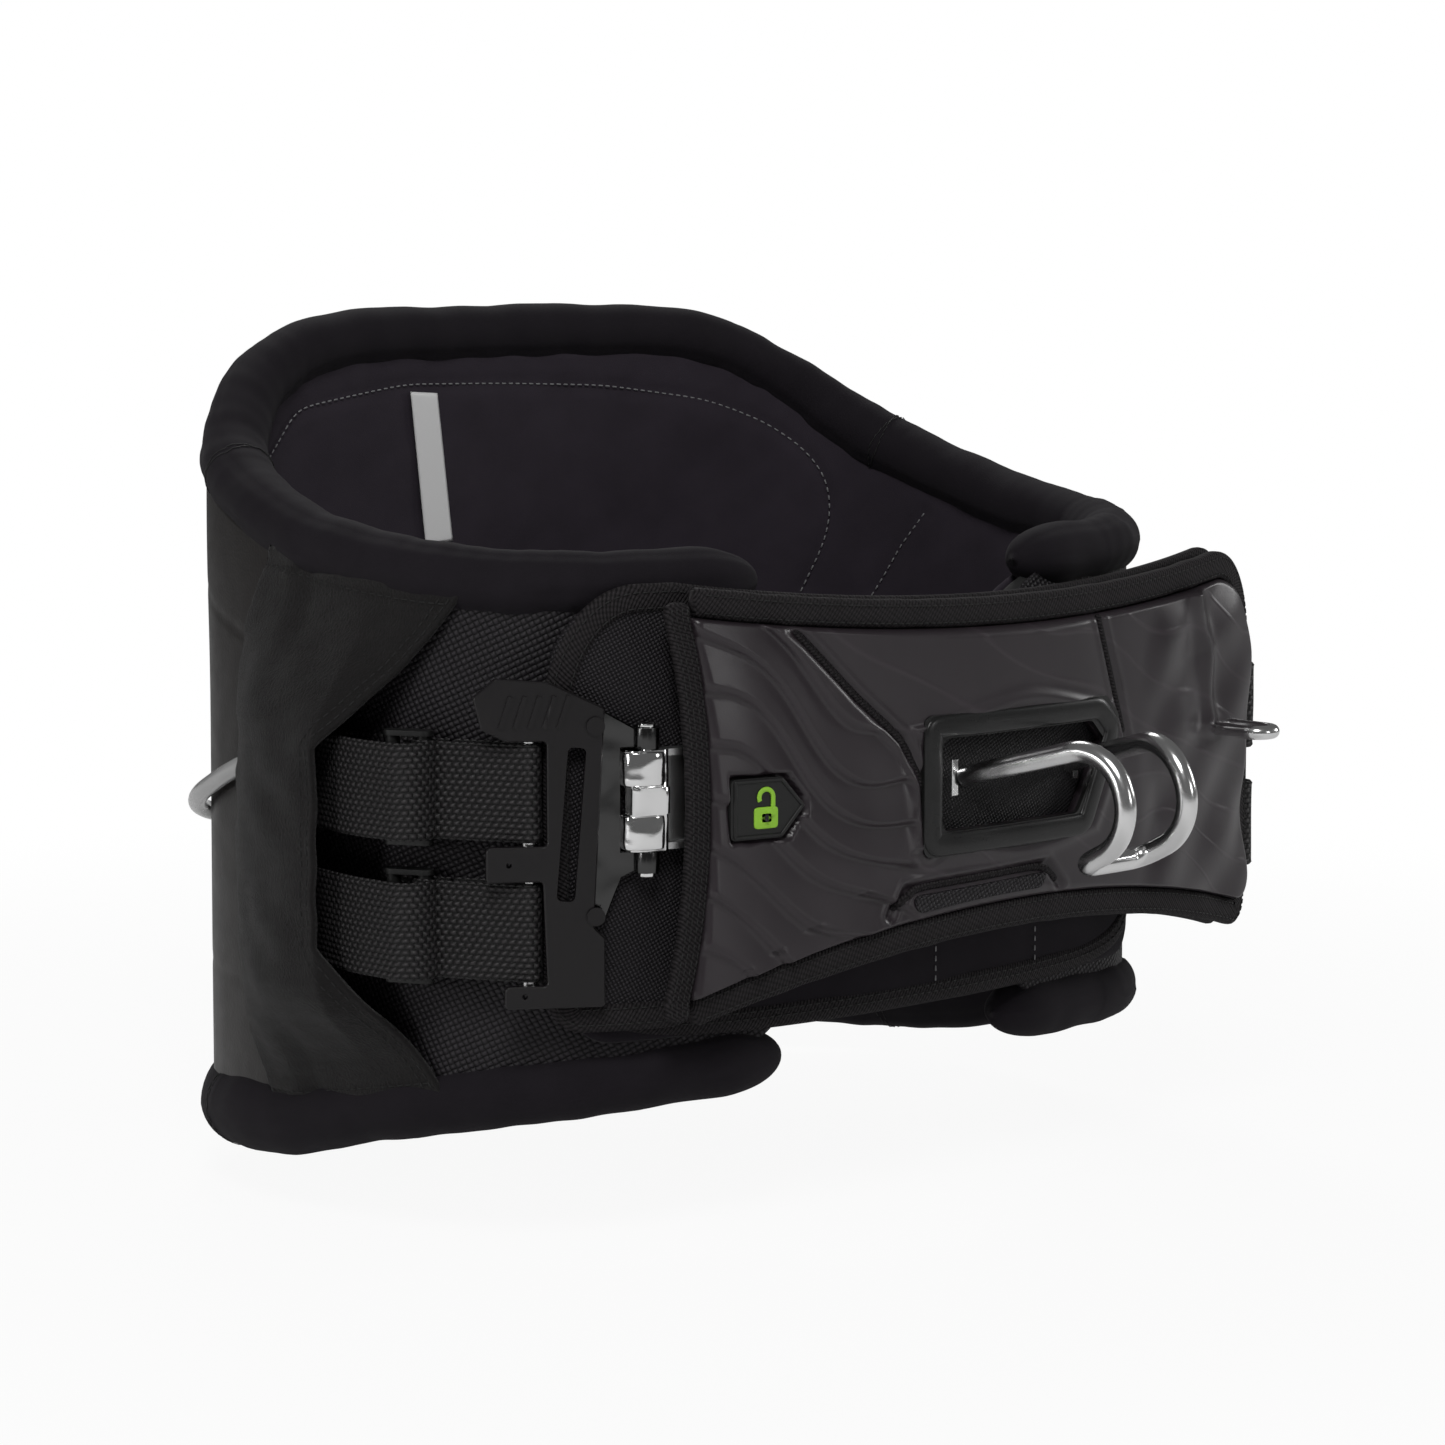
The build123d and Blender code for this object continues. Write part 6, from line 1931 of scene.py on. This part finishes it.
class HARNESS_OT_stage(bpy.types.Operator):
    """Camera, soft lamps, pale floor and a white surround.

    The floor is plain white to the camera where it is far, and near the harness 93 parts in a
    hundred white, so that it keeps the shadow.
    """

    bl_idname = "harness.stage"
    bl_label = "Stage"

    def execute(self, context):
        scene = context.scene
        scene.view_settings.view_transform = "Standard"
        self.camera(scene)
        for name, place, size, power in LAMPS:
            light = bpy.data.lights.new(name, "AREA")
            light.shape = "DISK"
            light.size = size
            light.energy = power
            aim = Vector(place) - Vector(LAMP_AIM)
            self.put(scene, name, light, place, aim)
        self.surround(scene)
        self.floor(scene)
        return {"FINISHED"}

    def put(self, scene, name, data, place, back):
        """Adds a camera or a lamp whose back points this way."""
        made = bpy.data.objects.new(name, data)
        made.location = place
        made.rotation_euler = back.to_track_quat("Z", "Y").to_euler()
        scene.collection.objects.link(made)
        return made

    def camera(self, scene):
        """Camera at its distance from the origin, turned to one side and lifted a little."""
        lens = bpy.data.cameras.new("camera")
        lens.sensor_width = SENSOR_MM
        lens.lens = LENS_MM
        lens.shift_x, lens.shift_y = LENS_SHIFT
        flat = math.cos(EYE_LIFT)
        back = Vector((-math.sin(EYE_TURN) * flat, -math.cos(EYE_TURN) * flat, math.sin(EYE_LIFT)))
        scene.camera = self.put(scene, "camera", lens, back * EYE_DISTANCE, back)

    def surround(self, scene):
        """World that is white to the camera and faint as light."""
        world = scene.world or bpy.data.worlds.new("surround")
        scene.world = world
        world.use_nodes = True
        tree = world.node_tree
        tree.nodes.clear()
        rays = tree.nodes.new("ShaderNodeLightPath")
        level = tree.nodes.new("ShaderNodeMapRange")
        level.inputs[3].default_value = WORLD_GLOW
        level.inputs[4].default_value = 1.0
        tree.links.new(rays.outputs["Is Camera Ray"], level.inputs[0])
        glow = tree.nodes.new("ShaderNodeBackground")
        glow.inputs["Color"].default_value = (1, 1, 1, 1)
        tree.links.new(level.outputs[0], glow.inputs["Strength"])
        out = tree.nodes.new("ShaderNodeOutputWorld")
        tree.links.new(glow.outputs[0], out.inputs[0])

    def floor(self, scene):
        """Pale floor just below the harness, whose light fades to plain white with distance."""
        z = CAD_BOUNDS[0][2] - FLOOR_GAP
        corners = [(x * FLOOR_HALF, y * FLOOR_HALF, z) for x, y in ((-1, -1), (1, -1), (1, 1), (-1, 1))]
        mesh = bpy.data.meshes.new("floor")
        mesh.from_pydata(corners, [], [(0, 1, 2, 3)])
        ground = bpy.data.objects.new("floor", mesh)
        scene.collection.objects.link(ground)
        made = Finish("floor", grey(FLOOR_TONE), 0.9, specular_ior_level=0.0)
        rays = made.value("ShaderNodeLightPath", output="Is Camera Ray")
        lit = made.node("ShaderNodeEmission", inputs={"Color": (1, 1, 1, 1), "Strength": 1.0})
        x, y, _ = made.parts(made.place())
        near, far = FLOOR_FADE
        fade = (x * x + y * y).step(near**2, far**2)
        mix = made.node("ShaderNodeMixShader", inputs={0: rays * (FLOOR_TONE + (1 - FLOOR_TONE) * fade)})
        made.tree.links.new(made.shader.outputs[0], mix.inputs[1])
        made.tree.links.new(lit.outputs[0], mix.inputs[2])
        made.tree.links.new(mix.outputs[0], made.tree.nodes["Material Output"].inputs[0])
        mesh.materials.append(made.material)


# ---------------------------------------------------------------- panel and main
OPERATORS = (
    HARNESS_OT_stage,
    HARNESS_OT_core,
    HARNESS_OT_liner,
    HARNESS_OT_wings,
    HARNESS_OT_shell,
    HARNESS_OT_rolls,
    HARNESS_OT_closure,
    HARNESS_OT_flaps,
    HARNESS_OT_foams,
    HARNESS_OT_face,
    HARNESS_OT_back,
    HARNESS_OT_bindings,
    HARNESS_OT_button,
    HARNESS_OT_window,
    HARNESS_OT_label,
    HARNESS_OT_straps,
    HARNESS_OT_hardware,
    HARNESS_OT_clasp,
)


class HARNESS_PT_pieces(bpy.types.Panel):
    """Lists the harness's settings and pieces."""

    bl_idname = "HARNESS_PT_pieces"
    bl_label = "Waist harness"
    bl_space_type = "VIEW_3D"
    bl_region_type = "UI"
    bl_category = "Harness"

    def draw(self, context):
        layout = self.layout
        for group in (context.scene.harness_look, context.scene.harness_sizes):
            box = layout.box()
            for key in group.bl_rna.properties.keys():
                if key not in ("rna_type", "name"):
                    box.prop(group, key)
        for kind in OPERATORS:
            layout.operator(kind.bl_idname)


CLASSES = (HarnessLook, HarnessSizes) + OPERATORS + (HARNESS_PT_pieces,)


def register():
    """Makes the settings, operators and panel known."""
    for kind in CLASSES:
        bpy.utils.register_class(kind)
    bpy.types.Scene.harness_look = PointerProperty(type=HarnessLook)
    bpy.types.Scene.harness_sizes = PointerProperty(type=HarnessSizes)


def unregister():
    """Takes back what register() made."""
    del bpy.types.Scene.harness_sizes
    del bpy.types.Scene.harness_look
    for kind in reversed(CLASSES):
        bpy.utils.unregister_class(kind)


def main():
    """Builds every piece in order."""
    register()
    for kind in OPERATORS:
        group, name = kind.bl_idname.split(".")
        getattr(getattr(bpy.ops, group), name)()


if __name__ == "__main__":
    main()
